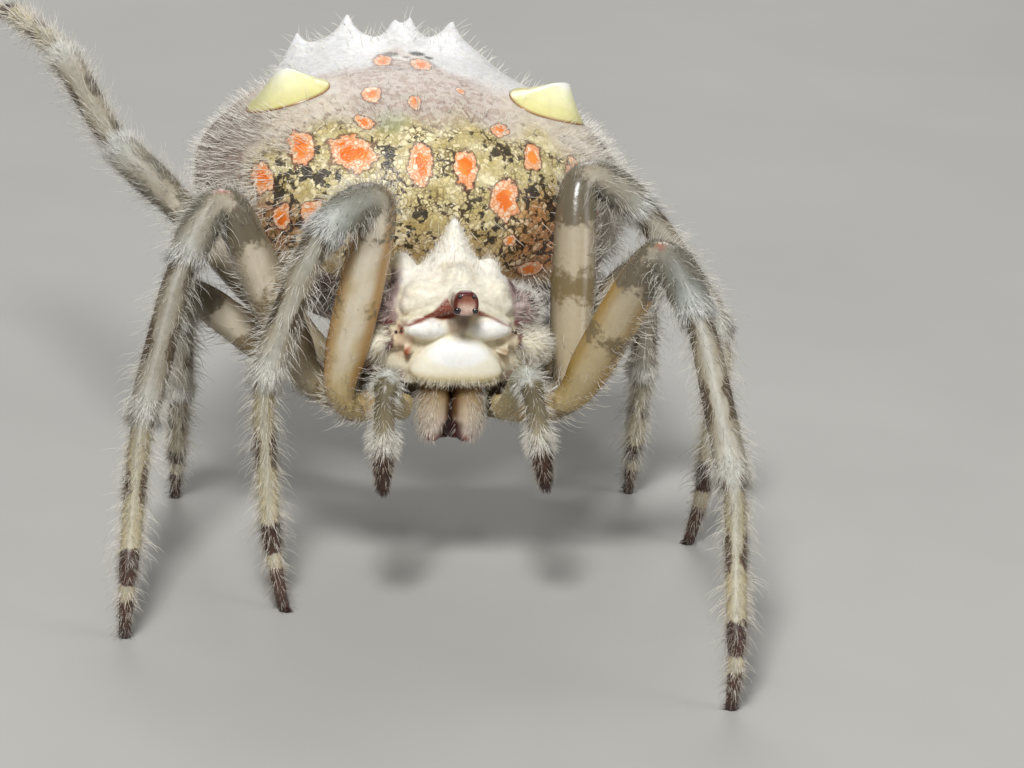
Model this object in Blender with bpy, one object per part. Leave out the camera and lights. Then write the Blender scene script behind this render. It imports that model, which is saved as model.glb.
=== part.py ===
"""A female magnificent spider, a bolas spider, standing at life size.

Everything is worked out in millimetres round the middle of the clypeus, the white
bulge above the jaws. The spider faces -Y, its left is +X, and the floor is z = 0.
The last step turns the millimetres into metres and puts the origin on the floor,
below the middle of the spider's box.
"""

import math
import random

import bmesh
import bpy
import numpy as np
from mathutils import Matrix, Vector
from mathutils.bvhtree import BVHTree

METRE = 0.001  # one millimetre of the working frame, in metres
GAP = 0.3  # clear space between a piece and what it grows from
JOINT_GAP = 0.26  # the same between two lengths of a leg
BOX_MIDDLE = (-1.13, 5.91)  # x and y of the middle of the spider's box

# Body, front to back
CARAPACE_MIDDLE_Y = 2.55
CARAPACE_HALF_LENGTH = 2.25
CARAPACE_HALF_WIDTH = 3.1
CARAPACE_EDGE_Z = 6.85
CARAPACE_UNDERSIDE = 0.35
CARAPACE_REAR_HEIGHT = 0.9
CROWN_HEIGHT = 2.4
CROWN_Y = 1.7
CROWN_HALF_WIDTH = 2.9
CROWN_FRONT_FALL = 2.2
CROWN_REAR_FALL = 1.3
CLYPEUS = ((0.0, 0.55, 7.45), (1.35, 0.62, 0.72))
EYE_TURRET_Z = 9.55
STERNUM = ((0.0, 3.25, 5.95), (1.3, 1.75, 0.95))
ABDOMEN_CENTRE = Vector((0.0, 9.5, 10.4))
ABDOMEN_RADII = Vector((6.9, 5.55, 3.85))
ABDOMEN_BELLY = 4.9  # how far below its centre the abdomen reaches
ABDOMEN_RIDGE = 1.62  # seen from the front, 2 gives a round back and less a tented one
ABDOMEN_FLATNESS = 2.35  # seen from the side, 2 gives a round back and more a flat one
ABDOMEN_TILT = 3.0  # degrees that its left side hangs lower
HUMP_X = 4.1
HUMP_Y = 8.15
SHOULDER_X = 4.5
SHOULDER_Y = 7.7
SHOULDER_HEIGHT = 0.45
SHOULDER_REACH = 1.7
TUBERCLE_SHIFT = -0.3  # the tubercles of the back stand a little to the right

# Legs: femur, patella, tibia, metatarsus and tarsus, pair by pair from the front
SEGMENTS = {
    1: (7.1, 2.6, 5.2, 5.2, 1.8),
    2: (7.1, 2.6, 5.0, 5.1, 1.8),
    3: (4.9, 1.9, 3.1, 3.1, 1.5),
    4: (6.9, 2.4, 4.7, 4.6, 1.6),
}
COXA_ROOTS = {1: (1.35, 1.65, 5.65), 2: (1.62, 2.55, 5.6), 3: (1.62, 3.65, 5.6), 4: (1.3, 4.75, 5.65)}
HIPS = {1: (3.55, 0.75, 5.75), 2: (3.9, 2.1, 5.7), 3: (3.75, 3.6, 5.7), 4: (3.1, 5.2, 5.8)}
STOUTNESS = {1: 1.0, 2: 1.0, 3: 0.84, 4: 0.92}

# The pose. Each segment has a heading, in degrees from straight ahead and positive to
# the spider's left, and a pitch above the floor. A metatarsus with no pitch takes the
# one that sets its tarsus on the floor.
POSE = {
    ("right", 1): ((78, 81), (-60, -22), (-119, -73), (38, None), (38, -69)),
    ("right", 2): ((-99, 64), (-50, -50), (-33, -63), (-11, None), (-11, -100)),
    ("right", 3): ((-106, 33), (-190, -50), (-190, -66), (-190, None), (-190, -80)),
    ("right", 4): ((-99, 45), (-120, 34), (-163, 23), (-165, 2), (-165, -28)),
    ("left", 1): ((34, 61), (29, -42), (18, -58), (-6, None), (-6, -100)),
    ("left", 2): ((173, 69), (100, -32), (88, -55), (-91, None), (-91, -78)),
    ("left", 3): ((132, 38), (150, -50), (165, -66), (175, None), (175, -75)),
    ("left", 4): ((147, 2), (165, -12), (184, -28), (190, None), (190, -55)),
}

# Half thickness of a leg along each segment: near end, belly and far end
GIRTHS = (
    (0.40, 0.50, 0.52),
    (0.54, 0.72, 0.52),
    (0.52, 0.62, 0.54),
    (0.48, 0.50, 0.46),
    (0.42, 0.38, 0.38),
    (0.34, 0.31, 0.26),
)
BEND_REACH = 1.2  # how far each side of a joint its rounding reaches
LEG_STEP = 0.95  # length of one ring to the next
PLAIN_END = 0.75  # length at a parted end that has no ring, so that a tight bend can't fold

# Bristles stand in overlapping locks: (segment, share of its length, locks) of each row
LOCK_ROWS = {
    "femur": ((1, 0.48, 2), (1, 0.7, 2)),
    "tibia": ((2, 0.5, 3), (3, 0.08, 3), (3, 0.33, 3), (3, 0.58, 3), (3, 0.82, 3)),
    "foot": ((4, 0.1, 3), (4, 0.35, 2), (4, 0.6, 2), (4, 0.84, 2)),
}
PALP_ROWS = (0.3, 0.52, 0.74)
LOCK_LENGTH = 1.6
PALP_LOCK_LENGTH = 1.0
LOCK_WIDTHS = (0.52, 0.72, 0.5)  # at its root and at two places farther out
LOCK_THICKNESSES = (0.5, 0.42, 0.24)
LOCK_LEANS = (48, 33, 20)  # degrees off the leg's axis of its three lengths, from the root
LOCK_ROOT = 0.25  # how deep a root is sunk
LOCK_SPREAD = 10  # most degrees that a lock turns from its even place round the leg

COLOURS = {
    "carapace_hair": ((0.80, 0.76, 0.68), 0.65),
    "eye_mound": ((0.36, 0.13, 0.07), 0.4),
    "jaw": ((0.66, 0.58, 0.46), 0.5),
    "palp": ((0.60, 0.58, 0.45), 0.5),
    "leg_banded": ((0.62, 0.56, 0.36), 0.45),
    "abdomen_skin": ((0.74, 0.68, 0.58), 0.55),
    "hump_yellow": ((0.80, 0.74, 0.30), 0.35),
    "spinneret": ((0.35, 0.22, 0.14), 0.5),
}


def clear_scene():
    for old in list(bpy.data.objects):
        bpy.data.objects.remove(old)


def make_materials():
    materials = {}
    for name, (colour, roughness) in COLOURS.items():
        material = bpy.data.materials.new(name)
        material.use_nodes = True
        shader = material.node_tree.nodes["Principled BSDF"]
        shader.inputs["Base Color"].default_value = (*colour, 1.0)
        shader.inputs["Roughness"].default_value = roughness
        material.diffuse_color = (*colour, 1.0)
        materials[name] = material
    return materials


def add_piece(name, mesh, material, pivot=(0.0, 0.0, 0.0)):
    """One sub-part, whose origin goes to pivot when the sizes are turned into metres."""
    mesh.materials.clear()
    mesh.materials.append(MATERIALS[material])
    mesh.name = name
    piece = bpy.data.objects.new(name, mesh)
    piece["pivot"] = list(pivot)
    SPIDER.objects.link(piece)
    return piece


def mesh_of(build):
    """A mesh filled by build, with its faces turned outwards."""
    mesh = bpy.data.meshes.new("form")
    shape = bmesh.new()
    build(shape)
    bmesh.ops.recalc_face_normals(shape, faces=shape.faces)
    shape.to_mesh(mesh)
    shape.free()
    return mesh


def ellipsoid(centre, radii, around=16, down=10):
    place = Matrix.LocRotScale(Vector(centre), None, Vector(radii))
    return mesh_of(
        lambda shape: bmesh.ops.create_uvsphere(
            shape, u_segments=around, v_segments=down, radius=1.0, matrix=place
        )
    )


def unit(vectors):
    vectors = np.asarray(vectors, float)
    return vectors / np.linalg.norm(vectors, axis=-1, keepdims=True)


def tube(points, radii, around=8, tangents=None):
    """A capped tube of varying thickness through points.

    Each ring of corners lies square to the route, and keeps as little twist as it can.
    """
    points = np.asarray(points, float)
    along = unit(np.gradient(points, axis=0) if tangents is None else tangents)
    across = unit(np.cross(along[0], np.eye(3)[np.argmin(np.abs(along[0]))]))
    angles = np.arange(around) * 2 * np.pi / around
    rings = []
    for point, radius, way in zip(points, radii, along):
        across = unit(across - way * (across @ way))
        turned = np.cos(angles)[:, None] * across + np.sin(angles)[:, None] * np.cross(way, across)
        rings.append(point + radius * turned)

    def build(shape):
        rows = [[shape.verts.new(corner) for corner in ring] for ring in rings]
        for row, after in zip(rows, rows[1:]):
            for k in range(around):
                on = (k + 1) % around
                shape.faces.new((row[k], row[on], after[on], after[k]))
        shape.faces.new(rows[0][::-1])
        shape.faces.new(rows[-1])

    return mesh_of(build)


def keep_largest(mesh):
    """Leaves the one closed surface with the most volume."""
    shape = bmesh.new()
    shape.from_mesh(mesh)
    bmesh.ops.triangulate(shape, faces=shape.faces)
    unseen = set(shape.verts)
    shells = []
    while unseen:
        edge_of_search = [unseen.pop()]
        shell = set(edge_of_search)
        while edge_of_search:
            for edge in edge_of_search.pop().link_edges:
                for corner in edge.verts:
                    if corner in unseen:
                        unseen.discard(corner)
                        shell.add(corner)
                        edge_of_search.append(corner)
        shells.append(shell)

    def volume(shell):
        faces = {face for corner in shell for face in corner.link_faces}
        return sum(f.verts[0].co.dot(f.verts[1].co.cross(f.verts[2].co)) for f in faces)

    shells.sort(key=volume)
    bmesh.ops.delete(shape, geom=[v for shell in shells[:-1] for v in shell], context="VERTS")
    shape.to_mesh(mesh)
    shape.free()


def boolean(base, operation, others, solver="MANIFOLD"):
    """The mesh base joined with, or cut by, the other meshes."""
    helpers = bpy.data.collections.new("helpers")
    helpers.hide_render = True
    bpy.context.scene.collection.children.link(helpers)
    first = bpy.data.objects.new("base", base)
    bpy.context.scene.collection.objects.link(first)
    for mesh in others:
        helper = bpy.data.objects.new("helper", mesh)
        helper.hide_render = True
        helper.display_type = "WIRE"
        helpers.objects.link(helper)
    step = first.modifiers.new(operation.lower(), "BOOLEAN")
    step.operation = operation
    step.operand_type = "COLLECTION"
    step.collection = helpers
    step.solver = solver
    graph = bpy.context.evaluated_depsgraph_get()
    mesh = bpy.data.meshes.new_from_object(first.evaluated_get(graph))
    for helper in list(helpers.objects):
        bpy.data.objects.remove(helper)
    bpy.data.collections.remove(helpers)
    bpy.data.objects.remove(first)
    keep_largest(mesh)
    return mesh


def carapace_mesh():
    """A rounded shield with a flat underside, and a steep crown over its front half."""

    def build(shape):
        bmesh.ops.create_uvsphere(shape, u_segments=26, v_segments=16, radius=1.0)
        for corner in shape.verts:
            side, ahead, up = corner.co
            reach = min(1.0, math.hypot(side, ahead))
            x = CARAPACE_HALF_WIDTH * side
            y = CARAPACE_MIDDLE_Y + CARAPACE_HALF_LENGTH * ahead
            wall = (1.0 - reach**4) ** 0.25
            if y < CROWN_Y:
                fall = ((CROWN_Y - y) / CROWN_FRONT_FALL) ** 4
            else:
                fall = ((y - CROWN_Y) / CROWN_REAR_FALL) ** 2
            crown = CROWN_HEIGHT * math.exp(-((abs(x) / CROWN_HALF_WIDTH) ** 4) - fall)
            height = CARAPACE_REAR_HEIGHT + crown if up > 0 else -CARAPACE_UNDERSIDE
            corner.co = (x, y, CARAPACE_EDGE_Z + height * wall)

    return mesh_of(build)


def sternum_mesh():
    """The plate below, between the legs: an ellipsoid with flatter sides."""
    (cx, cy, cz), (rx, ry, rz) = STERNUM

    def build(shape):
        bmesh.ops.create_uvsphere(shape, u_segments=14, v_segments=8, radius=1.0)
        for corner in shape.verts:
            squared = [math.copysign(abs(v) ** 0.75, v) for v in corner.co]
            corner.co = (cx + rx * squared[0], cy + ry * squared[1], cz + rz * squared[2])

    return mesh_of(build)


def make_prosoma():
    crown_spine = tube(
        [(0, 1.85, 9.2), (0, 1.9, 9.8), (0, 1.94, 10.25), (0, 1.96, 10.8), (0, 1.97, 11.35)],
        [1.15, 0.95, 0.52, 0.28, 0.07],
    )
    knobs = []
    for side in (-1, 1):
        knobs.append(ellipsoid((side * 1.6, 2.1, 9.75), (0.34, 0.34, 0.42), 8, 6))
        knobs.append(ellipsoid((side * 1.3, 1.15, 9.35), (0.36, 0.34, 0.36), 8, 6))
        knobs.append(ellipsoid((side * 1.05, 0.42, 8.55), (0.62, 0.36, 0.34), 10, 7))
        knobs.append(tube([(side * 0.3, 0.72, 9.4), (side * 1.5, 0.8, 8.95)], [0.34, 0.16]))
        knobs.append(ellipsoid((side * 1.5, 0.5, 8.2), (0.13, 0.13, 0.13), 6, 5))
        knobs.append(ellipsoid((side * 1.45, 0.34, 7.75), (0.12, 0.12, 0.12), 6, 5))
    turret_root = tube([(0, 1.2, 9.35), (0, 0.42, 9.45)], [0.42, 0.42], 12)
    pedicel = tube([(0, 4.4, 5.95), (0, 5.1, 5.95), (0, 5.5, 6.1), (0, 5.7, 6.34)], [0.5, 0.4, 0.36, 0.36])
    mesh = boolean(
        carapace_mesh(),
        "UNION",
        [sternum_mesh(), ellipsoid(*CLYPEUS, 18, 10), crown_spine, turret_root, pedicel, *knobs],
    )
    add_piece("prosoma", mesh, "carapace_hair", (0, CARAPACE_MIDDLE_Y, CARAPACE_EDGE_Z))


def make_eye_turret():
    """The mound that carries the four middle eyes, out over the clypeus."""
    z = EYE_TURRET_Z
    mound = tube(
        [(0, 0.12, z - 0.1), (0, -0.3, z - 0.06), (0, -0.62, z - 0.02), (0, -0.82, z)],
        [0.42, 0.43, 0.4, 0.26],
        12,
    )
    eyes = []
    for side in (-1, 1):
        eyes.append(ellipsoid((side * 0.22, -0.72, z + 0.22), (0.12, 0.12, 0.12), 8, 6))
        eyes.append(ellipsoid((side * 0.26, -0.74, z - 0.2), (0.14, 0.14, 0.14), 8, 6))
    add_piece("eye_turret", boolean(mound, "UNION", eyes), "eye_mound", (0, 0.12, z - 0.1))


def make_jaw(side_name, side):
    """A stout jaw, flat where it meets the underside of the head."""
    route = [(0.56, 0.78, 6.2), (0.57, 0.72, 5.8), (0.56, 0.7, 5.3), (0.53, 0.78, 4.95), (0.5, 0.9, 4.78)]
    points = [(side * x, y, z) for x, y, z in route]
    add_piece(f"chelicera_{side_name}", tube(points, [0.36, 0.4, 0.38, 0.27, 0.12], 12), "jaw", points[0])


def palp_lock_roots(path, start, stop, girths):
    """Where the locks of a feeler's hairy lower length grow, in rows of two."""
    roots = []
    for row, share in enumerate(PALP_ROWS):
        place = start + share * (stop - start)
        girth = float(np.interp(share, [0, 0.35, 0.8, 1], girths))
        centre, along = at_lengths(path, [place])[0], tangents_at(path, [place])[0]
        for angle in (90 * (row % 2), 90 * (row % 2) + 180):
            roots.append((centre, along, girth, math.radians(angle), PALP_LOCK_LENGTH))
    return roots


def make_palps(side_name, side):
    """A feeler of two lengths: up and forward to its knee, then down."""
    if side < 0:
        route = [(1.45, 0.6, 6.2), (1.55, 0.2, 5.85), (1.95, -0.35, 6.25), (2.35, -1.2, 7.1), (2.55, -1.75, 7.0)]
        lower = [(2.62, -2.0, 6.5), (2.68, -2.2, 5.6), (2.74, -2.45, 4.7), (2.78, -2.6, 4.1)]
    else:
        route = [(1.45, 0.6, 6.2), (1.5, 0.2, 5.85), (1.65, -0.35, 6.3), (1.85, -1.2, 7.2), (2.0, -1.7, 7.1)]
        lower = [(2.08, -1.95, 6.6), (2.15, -2.15, 5.8), (2.2, -2.35, 4.9), (2.24, -2.45, 4.3)]
    joints = [(side * x, y, z) for x, y, z in route + lower]
    path = rounded_path(joints, 0.3)
    knee = path_length_at(path, joints[4])
    end = float(path_lengths(path)[-1])
    lengths = (("upper", 0.0, knee, (0.3, 0.34, 0.38, 0.33)), ("lower", knee, end, (0.33, 0.36, 0.3, 0.16)))
    for part, start, stop, girths in lengths:
        points, tangents, places = stretch(path, start, stop, 0.5, part == "lower", part == "upper")
        radii = np.interp((places - start) / (stop - start), [0, 0.35, 0.8, 1], girths)
        mesh = tube(points, radii, 8, tangents)
        piece = add_piece(f"palp_{side_name}_{part}", mesh, "palp", joints[0 if part == "upper" else 4])
        if part == "lower":
            LOCK_ROOTS.append((piece, palp_lock_roots(path, start, stop, girths)))


def abdomen_level(side, ahead, up):
    """1 on the abdomen's surface and less inside it, for a place in shares of its radii."""
    ridge = ABDOMEN_RIDGE if up > 0 else 2.0
    across = (abs(side) ** ridge + abs(up) ** ridge) ** (1 / ridge)
    steepness = max(0.0, math.sin(math.atan2(up, abs(side))))
    flatness = 2.0 + (ABDOMEN_FLATNESS - 2.0) * steepness
    return (abs(ahead) ** flatness + across**flatness) ** (1 / flatness)


def abdomen_mesh(grow=0.0, around=34, down=22):
    """The broad, high abdomen, larger all round by grow."""

    def build(shape):
        bmesh.ops.create_uvsphere(shape, u_segments=around, v_segments=down, radius=1.0)
        for corner in shape.verts:
            side, ahead, up = corner.co / abdomen_level(*corner.co)
            depth = ABDOMEN_RADII.z if up > 0 else ABDOMEN_BELLY
            place = ABDOMEN_CENTRE + Vector(
                (
                    (ABDOMEN_RADII.x + grow) * side,
                    (ABDOMEN_RADII.y + grow) * ahead,
                    (depth + grow) * up,
                )
            )
            place.z += shoulder_rise(place.x, place.y) * min(1.0, 3 * max(0.0, up))
            corner.co = place

    return mesh_of(build)


def shoulder_rise(x, y):
    """How much a shoulder lifts the back at x, y, to carry a hump nearly level."""
    away = (abs(x) - SHOULDER_X) ** 2 + (y - SHOULDER_Y) ** 2
    return SHOULDER_HEIGHT * math.exp(-away / SHOULDER_REACH**2)


def on_abdomen(x, y):
    """The point of the abdomen's back above x, y, before it is tilted."""
    side, ahead = x / ABDOMEN_RADII.x, (y - ABDOMEN_CENTRE.y) / ABDOMEN_RADII.y
    low, high = 0.0, 1.0
    for _ in range(24):
        up = (low + high) / 2
        if abdomen_level(side, ahead, up) < 1:
            low = up
        else:
            high = up
    height = ABDOMEN_RADII.z * low + shoulder_rise(x, y) * min(1.0, 3 * low)
    return Vector((x, y, ABDOMEN_CENTRE.z + height))


def add_to_abdomen(name, mesh, material, pivot):
    """A piece made round the upright abdomen, tilted with it."""
    turn = Matrix.Rotation(math.radians(ABDOMEN_TILT), 4, "Y")
    tilt = Matrix.Translation(ABDOMEN_CENTRE) @ turn @ Matrix.Translation(-ABDOMEN_CENTRE)
    mesh.transform(tilt)
    add_piece(name, mesh, material, tilt @ Vector(pivot))


def cone_on_abdomen(x, y, lean, height, girths):
    """A pointed tubercle rooted in the abdomen, its tip leaning by lean."""
    foot = on_abdomen(x, y)
    axis = (Vector((0, 0, 1)) + Vector(lean)).normalized()
    steps = [-0.45, 0.0, 0.45 * height, height]
    return tube([foot + axis * step for step in steps], girths)


def make_abdomen():
    tubercles = []
    for side in (-1, 1):
        x = TUBERCLE_SHIFT + side * 1.55
        tubercles.append(cone_on_abdomen(x, 12.4, (side * 0.2, 0.1, 0), 1.0, [0.95, 0.62, 0.3, 0.08]))
        x = TUBERCLE_SHIFT + side * 2.8
        tubercles.append(cone_on_abdomen(x, 13.2, (side * 0.3, 0.2, 0), 0.8, [0.8, 0.5, 0.24, 0.08]))
        x = TUBERCLE_SHIFT + side * 0.22
        tubercles.append(cone_on_abdomen(x, 12.2, (side * 0.1, 0.1, 0), 0.95, [0.4, 0.4, 0.3, 0.08]))
    tubercles.append(ellipsoid(on_abdomen(TUBERCLE_SHIFT, 12.0), (0.82, 0.8, 0.62), 14, 9))
    mesh = boolean(abdomen_mesh(), "UNION", tubercles)
    add_to_abdomen("abdomen", mesh, "abdomen_skin", ABDOMEN_CENTRE)


def make_hump(side_name, side):
    """One of the two waxy yellow humps, a cone that leans outwards and has a blunt top."""
    foot = on_abdomen(side * HUMP_X, HUMP_Y)
    heights = [-0.5, 0.05, 0.33, 0.62, 0.83, 0.93]
    radii = [1.5, 1.5, 1.05, 0.65, 0.4, 0.22]
    points = [foot + Vector((side * 0.35 * height, 0, height)) for height in heights]
    cone = tube(points, radii, 20, [(0, 0, 1)] * len(points))
    mesh = boolean(cone, "DIFFERENCE", [abdomen_mesh(GAP)])
    add_to_abdomen(f"hump_{side_name}", mesh, "hump_yellow", foot)


def make_spinnerets():
    """The cluster of silk spigots below the rear of the abdomen."""
    root = Vector((0.0, 12.9, 6.55))
    axis = Vector((0.0, 0.35, -0.94)).normalized()
    mound = tube([root, root + axis * 0.55, root + axis * 0.85], [0.72, 0.66, 0.5])
    spigots = []
    for turn in range(4):
        angle = math.radians(45 + 90 * turn)
        foot = root + axis * 0.6 + Vector((0.3 * math.cos(angle), 0.3 * math.sin(angle), 0))
        spigots.append(tube([foot, foot + axis * 0.75], [0.26, 0.1], 6))
    mesh = boolean(mound, "UNION", spigots)
    mesh = boolean(mesh, "DIFFERENCE", [abdomen_mesh(GAP)])
    add_to_abdomen("spinnerets", mesh, "spinneret", root)


def heading(azimuth, pitch):
    """Unit vector of a segment that points azimuth from straight ahead and pitch up."""
    a, p = math.radians(azimuth), math.radians(pitch)
    return np.array([math.cos(p) * math.sin(a), -math.cos(p) * math.cos(a), math.sin(p)])


def leg_joints(side_name, pair):
    """Coxa root, hip, knee, patella end, tibia end, metatarsus end and tip."""
    side = 1 if side_name == "left" else -1
    lengths, pose = SEGMENTS[pair], POSE[side_name, pair]
    mirror = np.array([side, 1.0, 1.0])
    joints = [mirror * COXA_ROOTS[pair], mirror * HIPS[pair]]
    for k, (azimuth, pitch) in enumerate(pose):
        if pitch is None:
            tarsus_drop = lengths[4] * math.sin(math.radians(-pose[4][1]))
            pitch = -math.degrees(math.asin(min(1.0, (joints[-1][2] - tarsus_drop) / lengths[3])))
        joints.append(joints[-1] + lengths[k] * heading(azimuth, pitch))
    return joints


def rounded_path(joints, reach):
    """The route through joints with each corner rounded, as an array of points."""
    joints = [np.asarray(j, float) for j in joints]
    points = [joints[0]]
    for before, corner, after in zip(joints, joints[1:], joints[2:]):
        back = min(reach, 0.45 * np.linalg.norm(before - corner))
        on = min(reach, 0.45 * np.linalg.norm(after - corner))
        start = corner + (before - corner) / np.linalg.norm(before - corner) * back
        end = corner + (after - corner) / np.linalg.norm(after - corner) * on
        for t in np.linspace(0, 1, 13):
            points.append((1 - t) ** 2 * start + 2 * t * (1 - t) * corner + t**2 * end)
    points.append(joints[-1])
    return np.array(points)


def path_lengths(path):
    steps = np.linalg.norm(np.diff(path, axis=0), axis=1)
    return np.concatenate([[0.0], np.cumsum(steps)])


def path_length_at(path, place):
    """How far along the path its nearest point to place lies."""
    return float(path_lengths(path)[np.argmin(np.linalg.norm(path - np.asarray(place), axis=1))])


def at_lengths(path, places):
    """The points of the path at these lengths along it."""
    lengths = path_lengths(path)
    return np.stack([np.interp(places, lengths, path[:, k]) for k in range(3)], axis=-1)


def tangents_at(path, places, reach=0.1):
    """The path's directions at these lengths along it."""
    places = np.asarray(places)
    return unit(at_lengths(path, places + reach) - at_lengths(path, places - reach))


def stretch(path, start, end, step, parted_start, parted_end):
    """(points, tangents, places) along the path between two lengths along it.

    A parted end stops half a joint's gap short of its length, and its last ring is
    square to the path at that length, so that its neighbour's end lies parallel.
    """
    inner_start = start + (PLAIN_END if parted_start else 0.0)
    inner_end = end - (PLAIN_END if parted_end else 0.0)
    count = max(2, round((inner_end - inner_start) / step) + 1)
    places = np.linspace(inner_start, inner_end, count)
    points = at_lengths(path, places)
    tangents = tangents_at(path, places)
    half = JOINT_GAP / 2
    if parted_start:
        way = tangents_at(path, [start])
        points = np.concatenate([at_lengths(path, [start]) + half * way, points])
        tangents = np.concatenate([way, tangents])
        places = np.concatenate([[start + half], places])
    if parted_end:
        way = tangents_at(path, [end])
        points = np.concatenate([points, at_lengths(path, [end]) - half * way])
        tangents = np.concatenate([tangents, way])
        places = np.concatenate([places, [end - half]])
    return points, tangents, places


def girth_along(lengths_at_joints, places, pair):
    """Half thickness of the leg at each place along it, from GIRTHS."""
    stops, sizes = [], []
    for k, (near, belly, far) in enumerate(GIRTHS):
        start, end = lengths_at_joints[k], lengths_at_joints[k + 1]
        stops += [start + 0.02, start + 0.45 * (end - start), end - 0.02]
        sizes += [near, belly, far]
    return np.interp(places, stops, sizes) * STOUTNESS[pair]


def leg_lengths(side_name, pair):
    """(name, points, tangents, girths, pivot) of a leg's four lengths, and its whole route."""
    joints = leg_joints(side_name, pair)
    standing = (side_name, pair) != ("right", 4)
    if standing:
        last = joints[-1] - joints[-2]
        joints[-1] = joints[-1] + last / np.linalg.norm(last) * 0.3
    path = rounded_path(joints, BEND_REACH)
    total = float(path_lengths(path)[-1])
    marks = [0.0] + [path_length_at(path, joint) for joint in joints[1:-1]] + [total]
    parts = (("coxa", 0, 1), ("femur", 1, 2), ("tibia", 2, 4), ("foot", 4, 6))
    found = []
    for part, first, last in parts:
        points, tangents, places = stretch(path, marks[first], marks[last], LEG_STEP, first > 0, last < 6)
        found.append((part, points, tangents, girth_along(marks, places, pair), joints[first]))
    return found, standing, path, marks


def cut_at_floor(mesh):
    """Ends a foot in a small flat at z = 0."""
    shape = bmesh.new()
    shape.from_mesh(mesh)
    everything = list(shape.verts) + list(shape.edges) + list(shape.faces)
    cut = bmesh.ops.bisect_plane(
        shape, geom=everything, dist=1e-5, plane_co=(0, 0, 0), plane_no=(0, 0, -1), clear_outer=True
    )
    rim = [part for part in cut["geom_cut"] if isinstance(part, bmesh.types.BMEdge)]
    bmesh.ops.contextual_create(shape, geom=rim)
    bmesh.ops.recalc_face_normals(shape, faces=shape.faces)
    shape.to_mesh(mesh)
    shape.free()


def make_leg(side_name, pair):
    """The four lengths of a leg, and where its locks will grow."""
    lengths, standing, path, marks = leg_lengths(side_name, pair)
    for part, points, tangents, girths, pivot in lengths:
        mesh = tube(points, girths, 8, tangents)
        if part == "foot" and standing:
            cut_at_floor(mesh)
        piece = add_piece(f"leg_{side_name}_{pair}_{part}", mesh, "leg_banded", pivot)
        roots = []
        for row, (segment, share, count) in enumerate(LOCK_ROWS.get(part, ())):
            place = marks[segment] + share * (marks[segment + 1] - marks[segment])
            girth = girth_along(marks, [place], pair)[0]
            centre, along = at_lengths(path, [place])[0], tangents_at(path, [place])[0]
            shift = 0.5 * ((row + (part == "foot")) % 2)
            for k in range(count):
                angle = 360 * (k + shift) / count + DRAW.uniform(-LOCK_SPREAD, LOCK_SPREAD)
                angle = math.radians(angle)
                length = LOCK_LENGTH * STOUTNESS[pair] * DRAW.uniform(0.9, 1.1)
                roots.append((centre, along, girth, angle, length))
        LOCK_ROOTS.append((piece, roots))


def lock_mesh(centre, along, girth, angle, length):
    """One flat lock with a low keel, which leaves the leg steeply and bends along it."""
    above = unit(np.array([0.0, 0.0, 1.0]) - along * along[2])
    out = math.cos(angle) * above + math.sin(angle) * np.cross(along, above)
    wide = np.cross(along, out)
    spots, keels = [centre + out * (girth - LOCK_ROOT)], []
    reaches = (LOCK_ROOT + 0.28 * length, 0.38 * length, 0.34 * length)
    for lean, reach in zip(LOCK_LEANS, reaches):
        lean = math.radians(lean)
        way = math.cos(lean) * along + math.sin(lean) * out
        keels.append(np.cross(way, wide))
        spots.append(spots[-1] + reach * way)

    def build(shape):
        rows = []
        for spot, keel, width, depth in zip(spots, keels, LOCK_WIDTHS, LOCK_THICKNESSES):
            corners = (spot + width / 2 * wide, spot - width / 2 * wide, spot + depth * keel)
            rows.append([shape.verts.new(corner) for corner in corners])
        tip = shape.verts.new(spots[-1])
        for row, after in zip(rows, rows[1:]):
            for k in range(3):
                on = (k + 1) % 3
                shape.faces.new((row[k], row[on], after[on], after[k]))
        for k in range(3):
            shape.faces.new((rows[-1][k], rows[-1][(k + 1) % 3], tip))
        shape.faces.new(rows[0][::-1])

    return mesh_of(build)


def surface_tree(mesh):
    mesh.calc_loop_triangles()
    corners = [corner.co for corner in mesh.vertices]
    return BVHTree.FromPolygons(corners, [tuple(t.vertices) for t in mesh.loop_triangles])


def stands_clear(lock, own_name, surfaces):
    """Whether a lock keeps off the floor and off every node but its own."""
    for corner in lock.vertices:
        if corner.co.z < GAP / 2:
            return False
        for name, surface in surfaces.items():
            if name != own_name and surface.find_nearest(corner.co, GAP)[0] is not None:
                return False
    return True


def grow_locks():
    """Fuses each node's locks to it, leaving out those that would touch another node."""
    surfaces = {piece.name: surface_tree(piece.data) for piece in SPIDER.objects}
    for piece, roots in LOCK_ROOTS:
        locks = [lock_mesh(*root) for root in roots]
        locks = [lock for lock in locks if stands_clear(lock, piece.name, surfaces)]
        if not locks:
            continue
        material = piece.data.materials[0]
        mesh = boolean(piece.data, "UNION", locks)
        mesh.materials.clear()
        mesh.materials.append(material)
        mesh.name = piece.name
        piece.data = mesh
        surfaces[piece.name] = surface_tree(mesh)


def set_in_metres():
    """Turns each piece into metres, its origin on its root, under one empty."""
    origin = Vector((BOX_MIDDLE[0], BOX_MIDDLE[1], 0.0))
    holder = bpy.data.objects.new("magnificent_spider", None)
    holder.empty_display_size = 0.005
    SPIDER.objects.link(holder)
    for piece in SPIDER.objects:
        if piece.type != "MESH":
            continue
        pivot = Vector(piece["pivot"])
        piece.data.transform(Matrix.Scale(METRE, 4) @ Matrix.Translation(-pivot))
        piece.location = (pivot - origin) * METRE
        piece.parent = holder
        piece.data.shade_smooth()
        piece.data.set_sharp_from_angle(angle=math.radians(50))


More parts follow.
